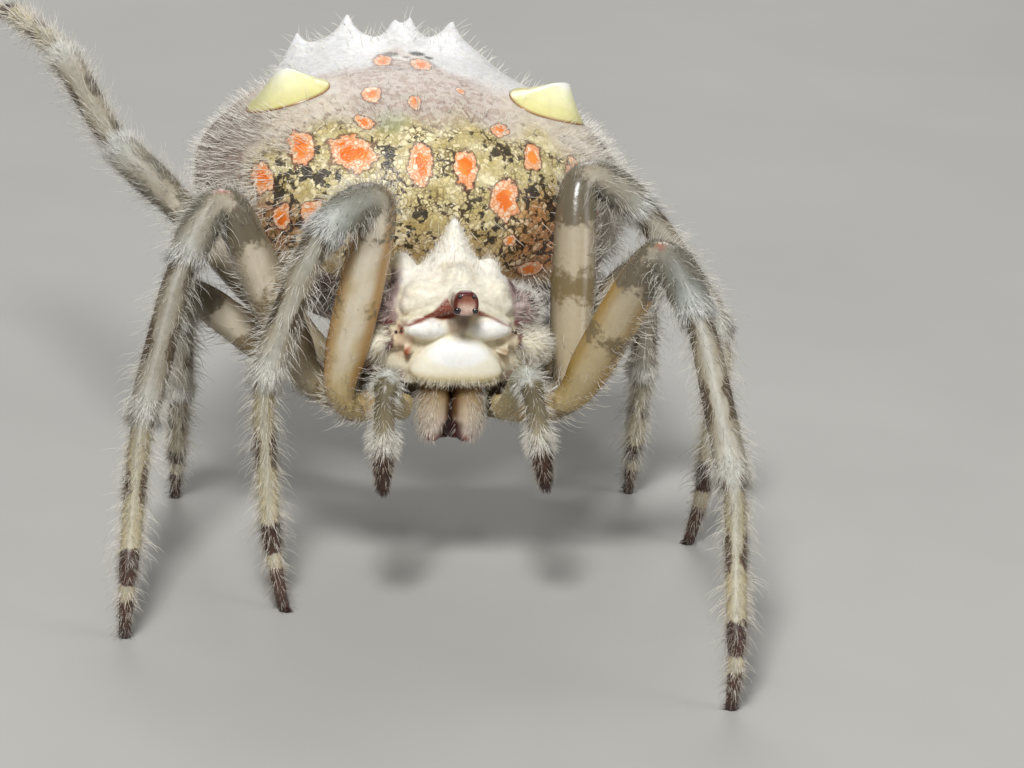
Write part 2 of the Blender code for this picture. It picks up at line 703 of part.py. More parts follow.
clear_scene()
SPIDER = bpy.data.collections.new("magnificent_spider")
bpy.context.scene.collection.children.link(SPIDER)
MATERIALS = make_materials()
DRAW = random.Random(11)
LOCK_ROOTS = []  # (piece, what lock_mesh needs for each of its locks)
make_prosoma()
make_eye_turret()
make_abdomen()
make_spinnerets()
for SIDE_NAME, SIDE in (("left", 1), ("right", -1)):
    make_jaw(SIDE_NAME, SIDE)
    make_palps(SIDE_NAME, SIDE)
    make_hump(SIDE_NAME, SIDE)
    for PAIR in SEGMENTS:
        make_leg(SIDE_NAME, PAIR)
grow_locks()
set_in_metres()
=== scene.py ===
"""A magnificent spider in a plain studio, at life size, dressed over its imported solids.

Shapes are worked out in millimetres round the middle of the clypeus, the white bulge
above the jaws: the spider faces -Y, its left is +X and the floor is z = 0. They are
turned into the frame's metres when their mesh is made.
"""

import bpy
import numpy as np
from mathutils import Matrix


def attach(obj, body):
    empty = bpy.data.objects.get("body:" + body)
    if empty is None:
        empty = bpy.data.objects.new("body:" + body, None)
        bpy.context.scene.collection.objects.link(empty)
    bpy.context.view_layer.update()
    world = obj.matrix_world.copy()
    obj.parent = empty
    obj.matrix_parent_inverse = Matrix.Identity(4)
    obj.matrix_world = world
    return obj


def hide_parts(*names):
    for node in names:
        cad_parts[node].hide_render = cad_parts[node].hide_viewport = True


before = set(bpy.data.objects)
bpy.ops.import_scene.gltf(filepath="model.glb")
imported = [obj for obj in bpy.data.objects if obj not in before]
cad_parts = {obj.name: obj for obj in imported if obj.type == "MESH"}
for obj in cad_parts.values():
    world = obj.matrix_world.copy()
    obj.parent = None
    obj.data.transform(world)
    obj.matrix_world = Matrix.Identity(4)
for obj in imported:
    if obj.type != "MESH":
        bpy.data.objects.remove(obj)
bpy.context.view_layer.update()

# ABDOMEN
# A soft, broad bag of skin with a tented back, two shoulders for the humps and a group
# of small white tubercles. It is one closed surface, lying inside its short coat.

MM = 0.001
BOX_MIDDLE = np.array([-1.13, 5.91, 0.0])
ABDOMEN_CENTRE = np.array([0.0, 9.5, 10.4])
ABDOMEN_RADII = np.array([6.78, 5.45, 3.75])
ABDOMEN_BELLY = 4.78
ABDOMEN_RIDGE = 1.62
ABDOMEN_FLATNESS = 2.35
ABDOMEN_TILT = np.radians(3.0)
SHOULDER = (4.5, 7.7, 0.45, 1.7)
# (x, y, height, reach) of each point and swelling of the back
TUBERCLES = (
    (-2.05, 12.4, 1.0, 0.42), (1.28, 12.4, 0.82, 0.42),
    (-3.5, 12.9, 1.1, 0.55), (2.5, 13.1, 0.5, 0.36),
    (-0.62, 12.15, 0.5, 0.2), (-0.12, 12.15, 0.5, 0.2),
)
SWELLINGS = (
    (-1.95, 12.2, 0.5, 1.1), (1.35, 12.2, 0.5, 1.1), (-0.3, 12.0, 0.62, 0.62),
    (-3.3, 12.8, 0.38, 0.95), (2.7, 12.9, 0.2, 0.9),
)


def unit(vectors):
    """Each vector divided by its length."""
    return vectors / np.maximum(np.linalg.norm(vectors, axis=-1, keepdims=True), 1e-12)


def dot(a, b):
    """The sum of the products of the vectors' parts."""
    return np.sum(a * b, axis=-1, keepdims=True)


def net(around, rings):
    """Triangles of a closed surface made of a first pole, rings of points and a last pole.

    With each corner goes its place on the unrolled surface: its share of the way round,
    and its share of the way from pole to pole.
    """
    k = np.arange(around)
    on = (k + 1) % around
    left, right, middle = k / around, (k + 1) / around, (k + 0.5) / around
    step = 1.0 / (rings + 1)
    row = 1 + around * np.arange(rings - 1)[:, None]
    low = np.broadcast_to((1 + np.arange(rings - 1)[:, None]) * step, (rings - 1, around))
    a, b, c, d = row + k, row + on, row + around + k, row + around + on
    left2, right2 = np.broadcast_to(left, low.shape), np.broadcast_to(right, low.shape)
    last = 1 + around * (rings - 1)
    faces = [
        np.stack([0 * k, 1 + on, 1 + k], -1),
        np.stack([a, b, d], -1).reshape(-1, 3),
        np.stack([a, d, c], -1).reshape(-1, 3),
        np.stack([last + k, last + on, 0 * k + last + around], -1),
    ]
    places = [
        np.stack([middle, 0 * k, right, 0 * k + step, left, 0 * k + step], -1),
        np.stack([left2, low, right2, low, right2, low + step], -1).reshape(-1, 6),
        np.stack([left2, low, right2, low + step, left2, low + step], -1).reshape(-1, 6),
        np.stack([left, 0 * k + 1 - step, right, 0 * k + 1 - step, middle, 0 * k + 1.0], -1),
    ]
    return np.concatenate(faces), np.concatenate(places).reshape(-1, 3, 2)


def outward(points, faces, places):
    """The faces turned so that the closed surface holds a positive volume."""
    p = points[faces]
    if np.sum(dot(p[:, 0], np.cross(p[:, 1], p[:, 2]))) < 0:
        return faces[:, ::-1], places[:, ::-1]
    return faces, places


def globe(around, rings, crowd=0.0):
    """Directions from a middle: the upper pole, rings of meridian points, the lower pole.

    The polar angle goes down in even steps, and each meridian's angle is counted from
    -Y, less crowd times its sine, which crowds the meridians towards -Y.
    """
    polar = np.pi * np.arange(1, rings + 1) / (rings + 1)
    angle = 2 * np.pi * np.arange(around) / around
    angle = angle - crowd * np.sin(angle)
    level = np.sin(polar)[:, None]
    rows = np.stack(
        [level * np.sin(angle), -level * np.cos(angle), np.cos(polar)[:, None] + 0 * angle], -1
    )
    return np.concatenate([[[0, 0, 1.0]], rows.reshape(-1, 3), [[0, 0, -1.0]]])


def abdomen_level(side, ahead, up):
    """1 on the surface: the three shares of the radii added with tented and flat powers."""
    ridge = np.where(up > 0, ABDOMEN_RIDGE, 2.0)
    across = (np.abs(side) ** ridge + np.abs(up) ** ridge) ** (1 / ridge)
    steep = np.maximum(0, np.sin(np.arctan2(up, np.abs(side))))
    flat = 2.0 + (ABDOMEN_FLATNESS - 2.0) * steep
    return (np.abs(ahead) ** flat + across**flat) ** (1 / flat)


def back_rise(x, y):
    """Height added to the back: the shoulders, the rounded swellings and the thorn-like points."""
    away = (np.abs(x) - SHOULDER[0]) ** 2 + (y - SHOULDER[1]) ** 2
    rise = SHOULDER[2] * np.exp(-away / SHOULDER[3] ** 2)
    for cx, cy, height, reach in SWELLINGS:
        rise = rise + height * np.exp(-(((x - cx) ** 2 + (y - cy) ** 2) / reach**2) ** 1.3)
    for cx, cy, height, reach in TUBERCLES:
        away = np.sqrt((x - cx) ** 2 + (y - cy) ** 2 + 0.002)
        rise = rise + height * np.exp(-1.5 * away / reach)
    return rise


def tilted(points, back=False):
    """The upright abdomen's points turned about its centre by its lean to the left."""
    turn = -ABDOMEN_TILT if back else ABDOMEN_TILT
    x, y, z = (points - ABDOMEN_CENTRE).T
    turned = [x * np.cos(turn) + z * np.sin(turn), y, z * np.cos(turn) - x * np.sin(turn)]
    return np.stack(turned, -1) + ABDOMEN_CENTRE


def abdomen_points(ways, grow=0.0):
    """Upright surface points: each way divided by its level, times the radii, with the rise."""
    side, ahead, up = (ways / abdomen_level(*ways.T)[:, None]).T
    depth = np.where(up > 0, ABDOMEN_RADII[2], ABDOMEN_BELLY) + grow
    x = (ABDOMEN_RADII[0] + grow) * side
    y = (ABDOMEN_RADII[1] + grow) * ahead + ABDOMEN_CENTRE[1]
    z = depth * up + ABDOMEN_CENTRE[2]
    return np.stack([x, y, z + back_rise(x, y) * np.clip(3 * up, 0, 1)], -1)


def hue(code):
    """The linear colour of a web colour code."""
    web = np.array([int(code[k : k + 2], 16) for k in (1, 3, 5)]) / 255
    return np.where(web <= 0.04045, web / 12.92, ((web + 0.055) / 1.055) ** 2.4)


def soft(low, high, value):
    """0 below low, 1 above high, and an S curve between; low may be the greater."""
    share = np.clip((value - low) / (high - low), 0, 1)
    return share * share * (3 - 2 * share)


def over(base, code, share):
    """base, painted over with a colour by a share for each point."""
    return base + (hue(code) - base) * share[:, None]


def painted(points, code, *layers):
    """A colour for each point: one for all, then each layer's colour over it by its share."""
    tint = np.tile(hue(code), (len(points), 1))
    for layer, share in layers:
        tint = over(tint, layer, share)
    return tint


def ripple(points, size, seed):
    """A smooth wandering field from -1 to 1: five sine waves of about this wavelength."""
    waves = np.random.default_rng(seed)
    ways = unit(waves.normal(size=(5, 3))) * waves.uniform(0.7, 1.5, (5, 1)) * 2 * np.pi / size
    return np.sin(points @ ways.T + waves.uniform(0, 6, 5)).sum(-1) / 3.2


# Orange spots of the front: middle and half width, half height, all upright
SPOTS = np.array([
    (-4.21, 6.03, 12.13, 0.32, 0.42), (-2.79, 5.18, 12.29, 0.6, 0.45), (-0.74, 4.51, 12.31, 0.33, 0.5),
    (0.65, 4.48, 12.28, 0.3, 0.46), (2.87, 5.37, 12.45, 0.28, 0.3), (1.93, 4.3, 11.37, 0.38, 0.5),
    (-5.29, 6.09, 11.03, 0.28, 0.36), (-3.76, 4.85, 10.33, 0.3, 0.4), (-4.65, 5.43, 10.0, 0.22, 0.4),
    (3.08, 4.77, 9.07, 0.35, 0.22), (2.24, 4.27, 10.07, 0.17, 0.16), (-2.01, 7.15, 13.67, 0.22, 0.18),
    (-0.77, 6.44, 13.74, 0.16, 0.13), (-2.33, 5.89, 13.06, 0.27, 0.12), (1.85, 5.73, 13.13, 0.27, 0.13),
    (-1.27, 9.89, 14.09, 0.22, 0.24), (-0.18, 9.17, 14.24, 0.22, 0.24), (4.3, 5.9, 11.9, 0.3, 0.35),
    (4.9, 6.2, 10.7, 0.3, 0.4), (-2.0, 4.4, 8.6, 0.3, 0.25), (0.75, 7.3, 13.9, 0.1, 0.08),
])
# Dark patches between them: middle and half size
PATCHES = np.array([
    (-4.23, 5.42, 11.46, 0.5), (-3.5, 5.0, 11.54, 0.45), (-1.63, 4.82, 12.44, 0.4), (1.86, 5.05, 12.61, 0.45),
    (-0.61, 4.0, 10.92, 0.4), (1.18, 4.08, 11.08, 0.4), (1.7, 4.12, 10.46, 0.5), (-1.14, 4.05, 10.02, 0.5),
    (-4.97, 5.65, 10.61, 0.5), (2.9, 4.6, 11.6, 0.5), (3.6, 5.1, 10.9, 0.55), (2.6, 4.3, 9.6, 0.6),
    (-2.5, 4.3, 10.9, 0.4), (-3.0, 4.5, 9.4, 0.55), (0.3, 3.95, 9.4, 0.5), (-6.0, 7.4, 11.2, 0.5),
    (-6.2, 8.0, 10.2, 0.5), (5.4, 6.7, 11.6, 0.5), (4.6, 5.6, 10.1, 0.5),
])
# Dark specks of the crest: middle and radius
SPECKS = np.array([
    (-0.9, 10.5, 14.15, 0.2), (-0.1, 10.45, 14.22, 0.2), (-0.5, 10.0, 14.2, 0.1),
    (-1.3, 10.1, 14.1, 0.12), (0.2, 10.0, 14.2, 0.12),
])
# Single marks of the back: the middle and the radii of a green cloud and of a white eye
GREEN_CLOUD = ([(-1.59, 5.8, 13.26)], [0.7])
WHITE_EYE = ([(-0.6, 10.0, 14.4)], [(0.4, 0.4, 1.5)])
# A spot with a higher middle than this lies on the back
BACK_Z = 13.4


def nearness(points, middles, radii):
    """How far inside the nearest of these blobs a point lies: 1 in its middle, 0 on its rim."""
    nearest = np.full(len(points), -9.0)
    for middle, radius in zip(middles, radii):
        away = np.sqrt(np.sum(((points - middle) / radius) ** 2, -1))
        nearest = np.maximum(nearest, 1 - away)
    return nearest


def paint_abdomen(points):
    """Tint, spot field, mosaic share, gloss, ink and flecks of the upright abdomen's points."""
    x, y, z = points.T
    wander, fine = ripple(points, 2.6, 3), ripple(points, 0.9, 4)
    off_middle = np.abs(x + 0.5)
    # The front, below an arched edge and between the flanks, and the white crest behind it
    edge = 13.35 - 0.055 * x * x + 0.25 * wander
    front = soft(0.3, -0.3, z - edge) * soft(8.4, 7.2, y + 0.4 * wander)
    front = front * soft(-5.9, -4.9, x) * soft(5.6, 4.9, x) * soft(8.3, 9.3, z + 0.3 * fine)
    reach = 8.9 - 0.5 * np.tanh(x) + 1.8 * np.exp(-(((x + 0.6) / 0.75) ** 2))
    white = soft(-0.7, 0.6, y - reach + 0.4 * wander + 0.25 * fine) * soft(12.2, 13.2, z + 0.2 * wander)
    raised = [np.hypot(x - cx, y - cy) / size for cx, cy, _, size in SWELLINGS]
    flank = soft(4.8, 6.1, np.abs(x) + 0.3 * wander) * soft(13.4, 12.4, z)
    low = soft(9.6, 7.6, z + 0.5 * wander)
    dark = soft(-0.25, 0.5, nearness(points, PATCHES[:, :3], PATCHES[:, 3:]) + 0.2 * fine)
    outer = soft(2.4, 4.2, np.abs(x + 0.3)) * soft(12.7, 11.6, z)
    dark = np.maximum(dark, np.where(x < 0, 0.8, 0.65) * front * outer)
    curve = np.abs(np.hypot(x + 0.5, (y - 9.6) * 0.9) - 0.85)
    speck_radii = np.stack([SPECKS[:, 3], SPECKS[:, 3] * 1.3, np.full(len(SPECKS), 1.5)], -1)
    pink, olive = ripple(points, 1.1, 5), ripple(points, 0.8, 7)
    tint = painted(
        points, "#cfbfae",
        ("#d9cfb8", soft(13.9, 13.3, z) * soft(8.0, 7.4, y) * 0.7),
        ("#e0d6ca", soft(-0.2, 0.8, fine) * 0.6),
        ("#b89a8c", soft(0.1, 0.9, pink) * soft(2.6, 1.2, off_middle) * 0.7),
        ("#a99286", soft(3.0, 1.4, off_middle) * soft(12.9, 13.5, z) * soft(10.2, 9.4, y) * 0.8),
        ("#9b9377", soft(0.2, 0.9, olive) * soft(2.2, 1.0, np.abs(x + 0.6)) * soft(8.6, 7.6, y) * 0.7),
        ("#e6e4e2", white),
        *(("#f0f0ee", soft(1.5, 0.6, away) * soft(12, 13, z)) for away in raised),
        ("#8f837b", flank * 0.85),
        ("#57443f", flank * soft(0.1, 0.7, ripple(points, 0.9, 6)) * 0.85),
        ("#57393a", low),
        ("#34201f", low * soft(0.1, 0.9, fine) * 0.8),
        ("#ddcd96", front),
        ("#c0ad68", front * soft(0.0, 0.9, fine) * 0.7),
        ("#f1e7be", front * soft(0.2, 0.9, -fine) * 0.7),
        ("#b2875a", front * soft(11.2, 9.6, z) * 0.5),
        ("#cf8450", front * soft(1.7, 3.0, x) * soft(12.0, 10.9, z) * 0.75),
        ("#a9552f", front * soft(-3.6, -4.6, x) * soft(11.0, 10.2, z) * 0.6),
        ("#8d9a6c", soft(0.0, 0.6, nearness(points, *GREEN_CLOUD)) * 0.7),
        ("#8a7468", dark * (1 - front) * 0.7),
        ("#5a3f46", soft(0.22, 0.08, curve) * soft(9.3, 8.9, y) * soft(13, 13.5, z) * 0.8),
        ("#f0efe8", soft(0.0, 0.5, nearness(points, *WHITE_EYE))),
        ("#171010", soft(-0.5, 0.1, nearness(points, SPECKS[:, :3], speck_radii)) * soft(12, 13, z)),
    )
    # A spot on the front is measured across and up, one on the back across and along
    on_back, wide, high = SPOTS[:, 2] > BACK_Z, SPOTS[:, 3], SPOTS[:, 4]
    spot_radii = np.stack([
        np.where(on_back, 1.3, 1.15) * wide, np.where(on_back, 2.4 * high, 0.8),
        np.where(on_back, 0.8, 1.15 * high),
    ], -1)
    fleck = (1 - front) * (1 - white) * (1 - 0.7 * low) * (0.35 + 0.65 * soft(3.6, 1.4, off_middle))
    return {
        "tint": tint, "spot": nearness(points, SPOTS[:, :3], spot_radii),
        "mosaic": front * (1 - 0.75 * white), "gloss": 0.3 + 0.3 * front, "ink": dark, "fleck": fleck,
    }


# What a shell's paint says besides its tint, with the value of a plain shell: the orange
# spots, the mosaic, the gloss, the dark bands, the dark ink and the flecks
PAINT = {"spot": -1.0, "mosaic": 0.0, "gloss": 0.5, "band": -1.0, "ink": 0.0, "fleck": 0.0}


def shell(points, faces, places, room, tint, dark=None, **paint):
    """A closed piece of skin with its paint, and its room on the skin's unwrap.

    A point's way out is the sum of its faces' area vectors, made one long.
    """
    faces, places = outward(points, faces, places)
    corners = points[faces]
    face_ways = np.cross(corners[:, 1] - corners[:, 0], corners[:, 2] - corners[:, 0])
    ways = np.zeros_like(points)
    for k in range(3):
        for axis in range(3):
            ways[:, axis] += np.bincount(faces[:, k], face_ways[:, axis], len(points))
    made = {"points": points, "faces": faces, "ways": unit(ways), "tint": tint}
    made["dark"] = tint if dark is None else dark
    made["places"] = np.array(room[:2]) + places * (np.array(room[2:]) - room[:2])
    for name, plain in PAINT.items():
        made[name] = np.zeros(len(points)) + paint.get(name, plain)
    return made


ABDOMEN_AROUND, ABDOMEN_RINGS, ABDOMEN_CROWD = 256, 136, 0.42
ABDOMEN_ROOM = (0.01, 0.5, 0.6, 0.99)
abdomen_upright = abdomen_points(globe(ABDOMEN_AROUND, ABDOMEN_RINGS, ABDOMEN_CROWD))
abdomen_net = net(ABDOMEN_AROUND, ABDOMEN_RINGS)
shells = {
    "abdomen": shell(
        tilted(abdomen_upright), *abdomen_net, ABDOMEN_ROOM, **paint_abdomen(abdomen_upright)
    )
}

# HEAD AND CARAPACE
# A low shield with a steep crown over its front: a white spine, blunt side knobs, red-
# brown brows, cream cheeks and a glossy clypeus. It is one closed surface worked out
# from rounded forms that flow into each other.

HEAD_MIDDLE = np.array([0.0, 2.3, 7.95])
HEAD_AXIS = unit(np.array([0.0, -2.6, 1.15]))
HEAD_AROUND, HEAD_RINGS = 208, 118
# (middle, radii) of rounded forms; those with a middle off the centre line stand on both sides
HEAD_LOBES = (
    ((0.98, 0.38, 8.44), (0.66, 0.36, 0.32)),
    ((1.02, 0.92, 9.3), (0.56, 0.44, 0.42)),
    ((1.56, 0.5, 8.25), (0.14, 0.14, 0.16)),
    ((1.47, 0.4, 7.7), (0.13, 0.13, 0.2)),
    ((2.45, 1.15, 7.75), (0.52, 0.6, 0.46)),
    ((2.2, 1.5, 8.7), (0.45, 0.6, 0.6)),
    ((0.05, 0.95, 9.85), (0.42, 0.36, 0.36)),
)
# Knobs that differ from side to side
HEAD_KNOBS = (
    ((-1.5, 2.0, 9.82), (0.33, 0.34, 0.46)),
    ((1.1, 1.75, 9.78), (0.3, 0.32, 0.42)),
    ((1.25, 0.95, 9.5), (0.24, 0.3, 0.3)),
)
# (start, end, start radius, end radius) of ridges on both sides
HEAD_RIDGES = (
    ((0.15, 0.6, 9.5), (1.45, 0.8, 9.02), 0.38, 0.26),
    ((0.2, 0.28, 9.2), (1.6, 0.58, 8.62), 0.22, 0.06),
    ((1.6, 0.7, 8.0), (2.3, 1.0, 7.8), 0.25, 0.3),
)
# Heights of the white spine and its half thickness at each
SPINE = ((9.0, 9.8, 10.2, 10.8, 11.3, 11.45), (1.22, 0.96, 0.64, 0.33, 0.11, 0.0))
HEAD_ROOM = (0.62, 0.5, 0.99, 0.99)


def merge(a, b, reach):
    """The lesser of two depths, rounded where they are nearly equal."""
    near = np.maximum(reach - np.abs(a - b), 0) / reach
    return np.minimum(a, b) - near * near * reach / 4


def ball_depth(off, radii):
    """Below 0 inside an oval: its stretched distance less 1, times its least radius."""
    return (np.sqrt(np.sum((off / radii) ** 2, -1)) - 1) * min(radii)


def head_depth(points):
    """Below 0 inside the head: the shield and crown, the spine, lobes and ridges, merged."""
    x, y, z = points.T
    side = np.abs(x)
    reach = ((x / 3.02) ** 2 + ((y - 2.55) / 2.17) ** 2) ** 2
    fall = np.where(y < 1.7, ((1.7 - y) / 2.2) ** 4, ((y - 1.7) / 1.3) ** 2)
    crown = 2.32 * np.exp(-((side / 2.9) ** 4) - fall)
    high = np.where(z > 6.85, 0.82 + crown, 0.33)
    depth = ((reach + ((z - 6.85) / high) ** 4) ** 0.25 - 1) * 1.6
    width = np.interp(z, *SPINE)
    away = np.hypot(x, y - 1.85 - 0.05 * (z - 9.2)) - width + 2 * np.maximum(z - 11.4, 0)
    depth = merge(depth, np.maximum(away * 0.85, 8.6 - z), 0.3)
    for (cx, cy, cz), radii in HEAD_LOBES:
        off = np.stack([side - cx if cx > 0.1 else x - cx, y - cy, z - cz], -1)
        depth = merge(depth, ball_depth(off, radii), 0.28 if radii[0] > 0.6 else 0.16)
    for middle, radii in HEAD_KNOBS:
        depth = merge(depth, ball_depth(points - middle, radii), 0.2)
    # The clypeus: a bulge with a nearly straight lower rim, narrower above
    taper = 1.44 - 0.62 * soft(7.0, 8.3, z)
    low = np.where(z > 7.3, 0.86, 0.56)
    level = np.abs((x - 0.04) / taper) ** 3.2 + np.abs((y - 0.55) / 0.66) ** 3
    level = (level + np.abs((z - 7.3) / low) ** 3.4) ** (1 / 3.2)
    depth = merge(depth, (level - 1) * 0.62, 0.12)
    mirrored = np.stack([side, y, z], -1)
    for start, end, first, last in HEAD_RIDGES:
        start, end = np.array(start), np.array(end)
        along = np.clip((mirrored - start) @ (end - start) / np.sum((end - start) ** 2), 0, 1)
        off = mirrored - start - along[:, None] * (end - start)
        depth = merge(depth, np.linalg.norm(off, axis=-1) - first - (last - first) * along, 0.12)
    return depth


def head_points():
    """Surface points: along each direction of a globe whose pole looks at the eyes, halved in
    on the place where the depth is 0."""
    ways = globe(HEAD_AROUND, HEAD_RINGS)
    across = np.array([1.0, 0, 0])
    ways = ways @ np.stack([across, np.cross(HEAD_AXIS, across), HEAD_AXIS])
    near, far = np.full(len(ways), 0.2), np.full(len(ways), 5.0)
    for _ in range(22):
        middle = (near + far) / 2
        inside = head_depth(HEAD_MIDDLE + ways * middle[:, None]) < 0
        near, far = np.where(inside, middle, near), np.where(inside, far, middle)
    return HEAD_MIDDLE + ways * near[:, None]


def blot(points, middle, radii):
    """1 inside a soft-edged blot standing on both sides of the centre line."""
    mirrored = np.stack([np.abs(points[:, 0]), points[:, 1], points[:, 2]], -1)
    return soft(1.25, 0.75, np.linalg.norm((mirrored - middle) / radii, axis=-1))


def paint_head(points):
    """White and cream over the crown and face, with maroon sides and red-brown brows."""
    x, y, z = points.T
    side = np.abs(x)
    wander, fine = ripple(points, 1.6, 11), ripple(points, 0.32, 12)
    edge = 1.74 - 0.4 * np.clip(z - 9.1, 0, 1.2) + 0.1 * fine
    sides = soft(edge - 0.05, edge + 0.12, side) * soft(0.55, 0.8, y)
    sides = sides * soft(8.25, 8.45, z) * soft(10.0, 9.7, z)
    streak = soft(0.14, 0.04, np.abs(side - 1.98 - 0.1 * fine)) * soft(7.45, 7.6, z)
    streak = streak * soft(8.5, 8.3, z) * soft(1.8, 1.2, y)
    line = soft(0.12, 0.03, np.abs(z - 8.42 - 0.06 * fine)) * soft(1.7, 1.9, side) * soft(2.0, 1.4, y)
    chin = soft(1.5, 1.3, side) * soft(0.55, 0.3, y) * soft(8.25, 8.1, z)
    crown = soft(9.25, 9.6, z) * soft(1.8, 1.5, side)
    plate_rim = 9.2 - 0.36 * 0.2
    plate = soft(1.8, 1.6, side) * soft(plate_rim, 9.4, z + 0.36 * (side - 0.2)) * soft(1.3, 0.9, y)
    # The brow's wedge: broad at the eye mound and thin at its outer end
    half = np.interp(side, (0.2, 0.45, 0.8, 1.1, 1.6), (0.4, 0.32, 0.1, 0.035, 0.02))
    half, middle = half * np.where(x > 0, 0.4, 1), 9.22 - 0.42 * side
    wedge = soft(half + 0.05, half - 0.03, np.abs(z - middle - 0.02 * fine))
    wedge = wedge * soft(1.72, 1.6, side) * soft(1.1, 0.8, y)
    # The right cheek and brow, nearer to the camera, are the more strongly marked
    cheek, here = np.where(x < 0, 0.8, 0.45), np.where(x < 0, 1.0, 0.35)
    tint = painted(
        points, "#e9e0c4",
        ("#d3c18c", soft(0.1, 0.9, wander) * 0.5),
        ("#9a826a", soft(2.3, 3.2, y) * 0.8),
        ("#93797a", sides * 0.9),
        ("#3c2022", sides * soft(-0.1, 0.6, fine) * 0.8),
        ("#6b4a3c", soft(7.25, 6.85, z) * soft(1.3, 1.6, side) * 0.8),
        ("#6b4a3c", soft(7.05, 6.8, z) * soft(0.6, 1.0, y) * 0.8),
        ("#d6bc9c", blot(points, (1.6, 0.6, 7.9), (0.35, 0.6, 0.55)) * cheek),
        ("#f0e8d0", blot(points, (2.5, 0.9, 7.85), (0.5, 0.8, 0.42))),
        ("#5b2422", streak * 0.9),
        ("#6a2420", line * soft(-0.6, 0.2, fine)),
        # A grey-brown V between the white bulges under the eye mound: partly the skin's own colour, partly
        # painted shade between them
        ("#8f7a6a", blot(points, (0, 0.2, 8.78), (0.36, 0.9, 0.5)) * 0.85),
        ("#b9a48c", blot(points, (0, 0.2, 8.35), (0.25, 0.9, 0.25)) * 0.6),
        ("#fbf8f0", blot(points, (1.0, 0.2, 8.45), (0.62, 0.6, 0.33))),
        ("#f6f0dc", chin),
        ("#e8d9a2", chin * soft(7.25, 6.95, z) * 0.75),
        ("#fdfcf6", blot(points, (0.05, 0, 7.75), (0.85, 0.7, 0.38))),
        ("#f8f4ea", crown * 0.8),
        ("#c9ba94", blot(points, (0.1, 0.9, 10.08), (0.5, 0.6, 0.2)) * 0.6),
        ("#f3ecd8", plate),
        ("#84381e", wedge),
        ("#a8502c", wedge * soft(0.0, 0.8, fine) * soft(1.0, 0.5, side) * 0.6),
        ("#8a3a22", blot(points, (1.7, 0.45, 8.36), (0.07, 0.4, 0.14)) * here),
        ("#9c4a1c", blot(points, (1.46, 0.25, 7.54), (0.16, 0.42, 0.33)) * here),
    )
    glossy = np.maximum(chin, np.maximum(wedge, plate * 0.15))
    return {"tint": tint, "gloss": 0.35 + 0.45 * glossy}


head = head_points()
shells["head"] = shell(head, *net(HEAD_AROUND, HEAD_RINGS), HEAD_ROOM, **paint_head(head))

# STERNUM AND WAIST
# The hard plate between the legs' roots and the narrow waist that carries the abdomen: an
# oval with blunted sides and a short tube, both of brown chitin.

PLATE_AROUND, PLATE_RINGS = 40, 20
PLATE_MIDDLE, PLATE_RADII, PLATE_POWER = (0, 3.25, 5.98), (1.25, 1.7, 0.9), 0.75
PLATE_ROOM, WAIST_ROOM = (0.01, 0.01, 0.08, 0.08), (0.09, 0.01, 0.14, 0.08)
WAIST_ROUTE = np.array([(0, 4.4, 5.95), (0, 5.1, 5.95), (0, 5.5, 6.1), (0, 6.1, 6.9)])
WAIST_AROUND, WAIST_RINGS, WAIST_GIRTH = 16, 16, 0.36

ways = globe(PLATE_AROUND, PLATE_RINGS)
plate = np.sign(ways) * np.abs(ways) ** PLATE_POWER * PLATE_RADII + PLATE_MIDDLE
plate_tint = painted(plate, "#8d7a5c", ("#5c4434", soft(-0.3, 0.7, ripple(plate, 1.2, 21))))
shells["sternum"] = shell(plate, *net(PLATE_AROUND, PLATE_RINGS), PLATE_ROOM, plate_tint)


def smooth_route(joints, reach):
    """A route through joints whose corners are rounded by parabolas of this reach."""
    joints = np.asarray(joints, float)
    pieces = [joints[:1]]
    t = np.linspace(0, 1, 13)[:, None]
    for before, corner, after in zip(joints, joints[1:], joints[2:]):
        back, on = (np.linalg.norm(end - corner) for end in (before, after))
        start = corner + (before - corner) * min(reach / back, 0.45)
        end = corner + (after - corner) * min(reach / on, 0.45)
        pieces.append((1 - t) ** 2 * start + 2 * t * (1 - t) * corner + t**2 * end)
    return np.concatenate(pieces + [joints[-1:]])


def lengths_of(route):
    """The length along a route at each of its points."""
    return np.concatenate([[0.0], np.cumsum(np.linalg.norm(np.diff(route, axis=0), axis=1))])


def at(route, lengths):
    """Points of a route at these lengths along it."""
    marks = lengths_of(route)
    return np.stack([np.interp(lengths, marks, route[:, k]) for k in range(3)], -1)


def frames(centres, tangents):
    """Two crosswise directions for each ring, carried along with as little twist as can be."""
    across = np.empty_like(centres)
    way = np.cross(tangents[0], (0.13, 0.21, 0.97))
    for k, tangent in enumerate(tangents):
        way = unit(way - tangent * (way @ tangent))
        across[k] = way
    return across, np.cross(tangents, across)


def tube(route, places, radii, around):
    """Points of a closed tube: rings square to the route, and a pole at each end."""
    centres = at(route, places)
    tangents = unit(at(route, places + 0.08) - at(route, places - 0.08))
    across, over_it = frames(centres, tangents)
    turn = 2 * np.pi * np.arange(around) / around
    ring = np.cos(turn)[:, None] * across[:, None] + np.sin(turn)[:, None] * over_it[:, None]
    rows = centres[:, None] + ring * radii[:, None, None]
    ends = centres[[0, -1]] + tangents[[0, -1]] * np.array([[-0.3], [0.3]]) * radii[[0, -1], None]
    return np.concatenate([ends[:1], rows.reshape(-1, 3), ends[1:]]), tangents, centres


places = np.linspace(0, lengths_of(WAIST_ROUTE)[-1], WAIST_RINGS)
waist = tube(WAIST_ROUTE, places, np.full(WAIST_RINGS, WAIST_GIRTH), WAIST_AROUND)[0]
shells["waist"] = shell(waist, *net(WAIST_AROUND, WAIST_RINGS), WAIST_ROOM, painted(waist, "#6e5444"))
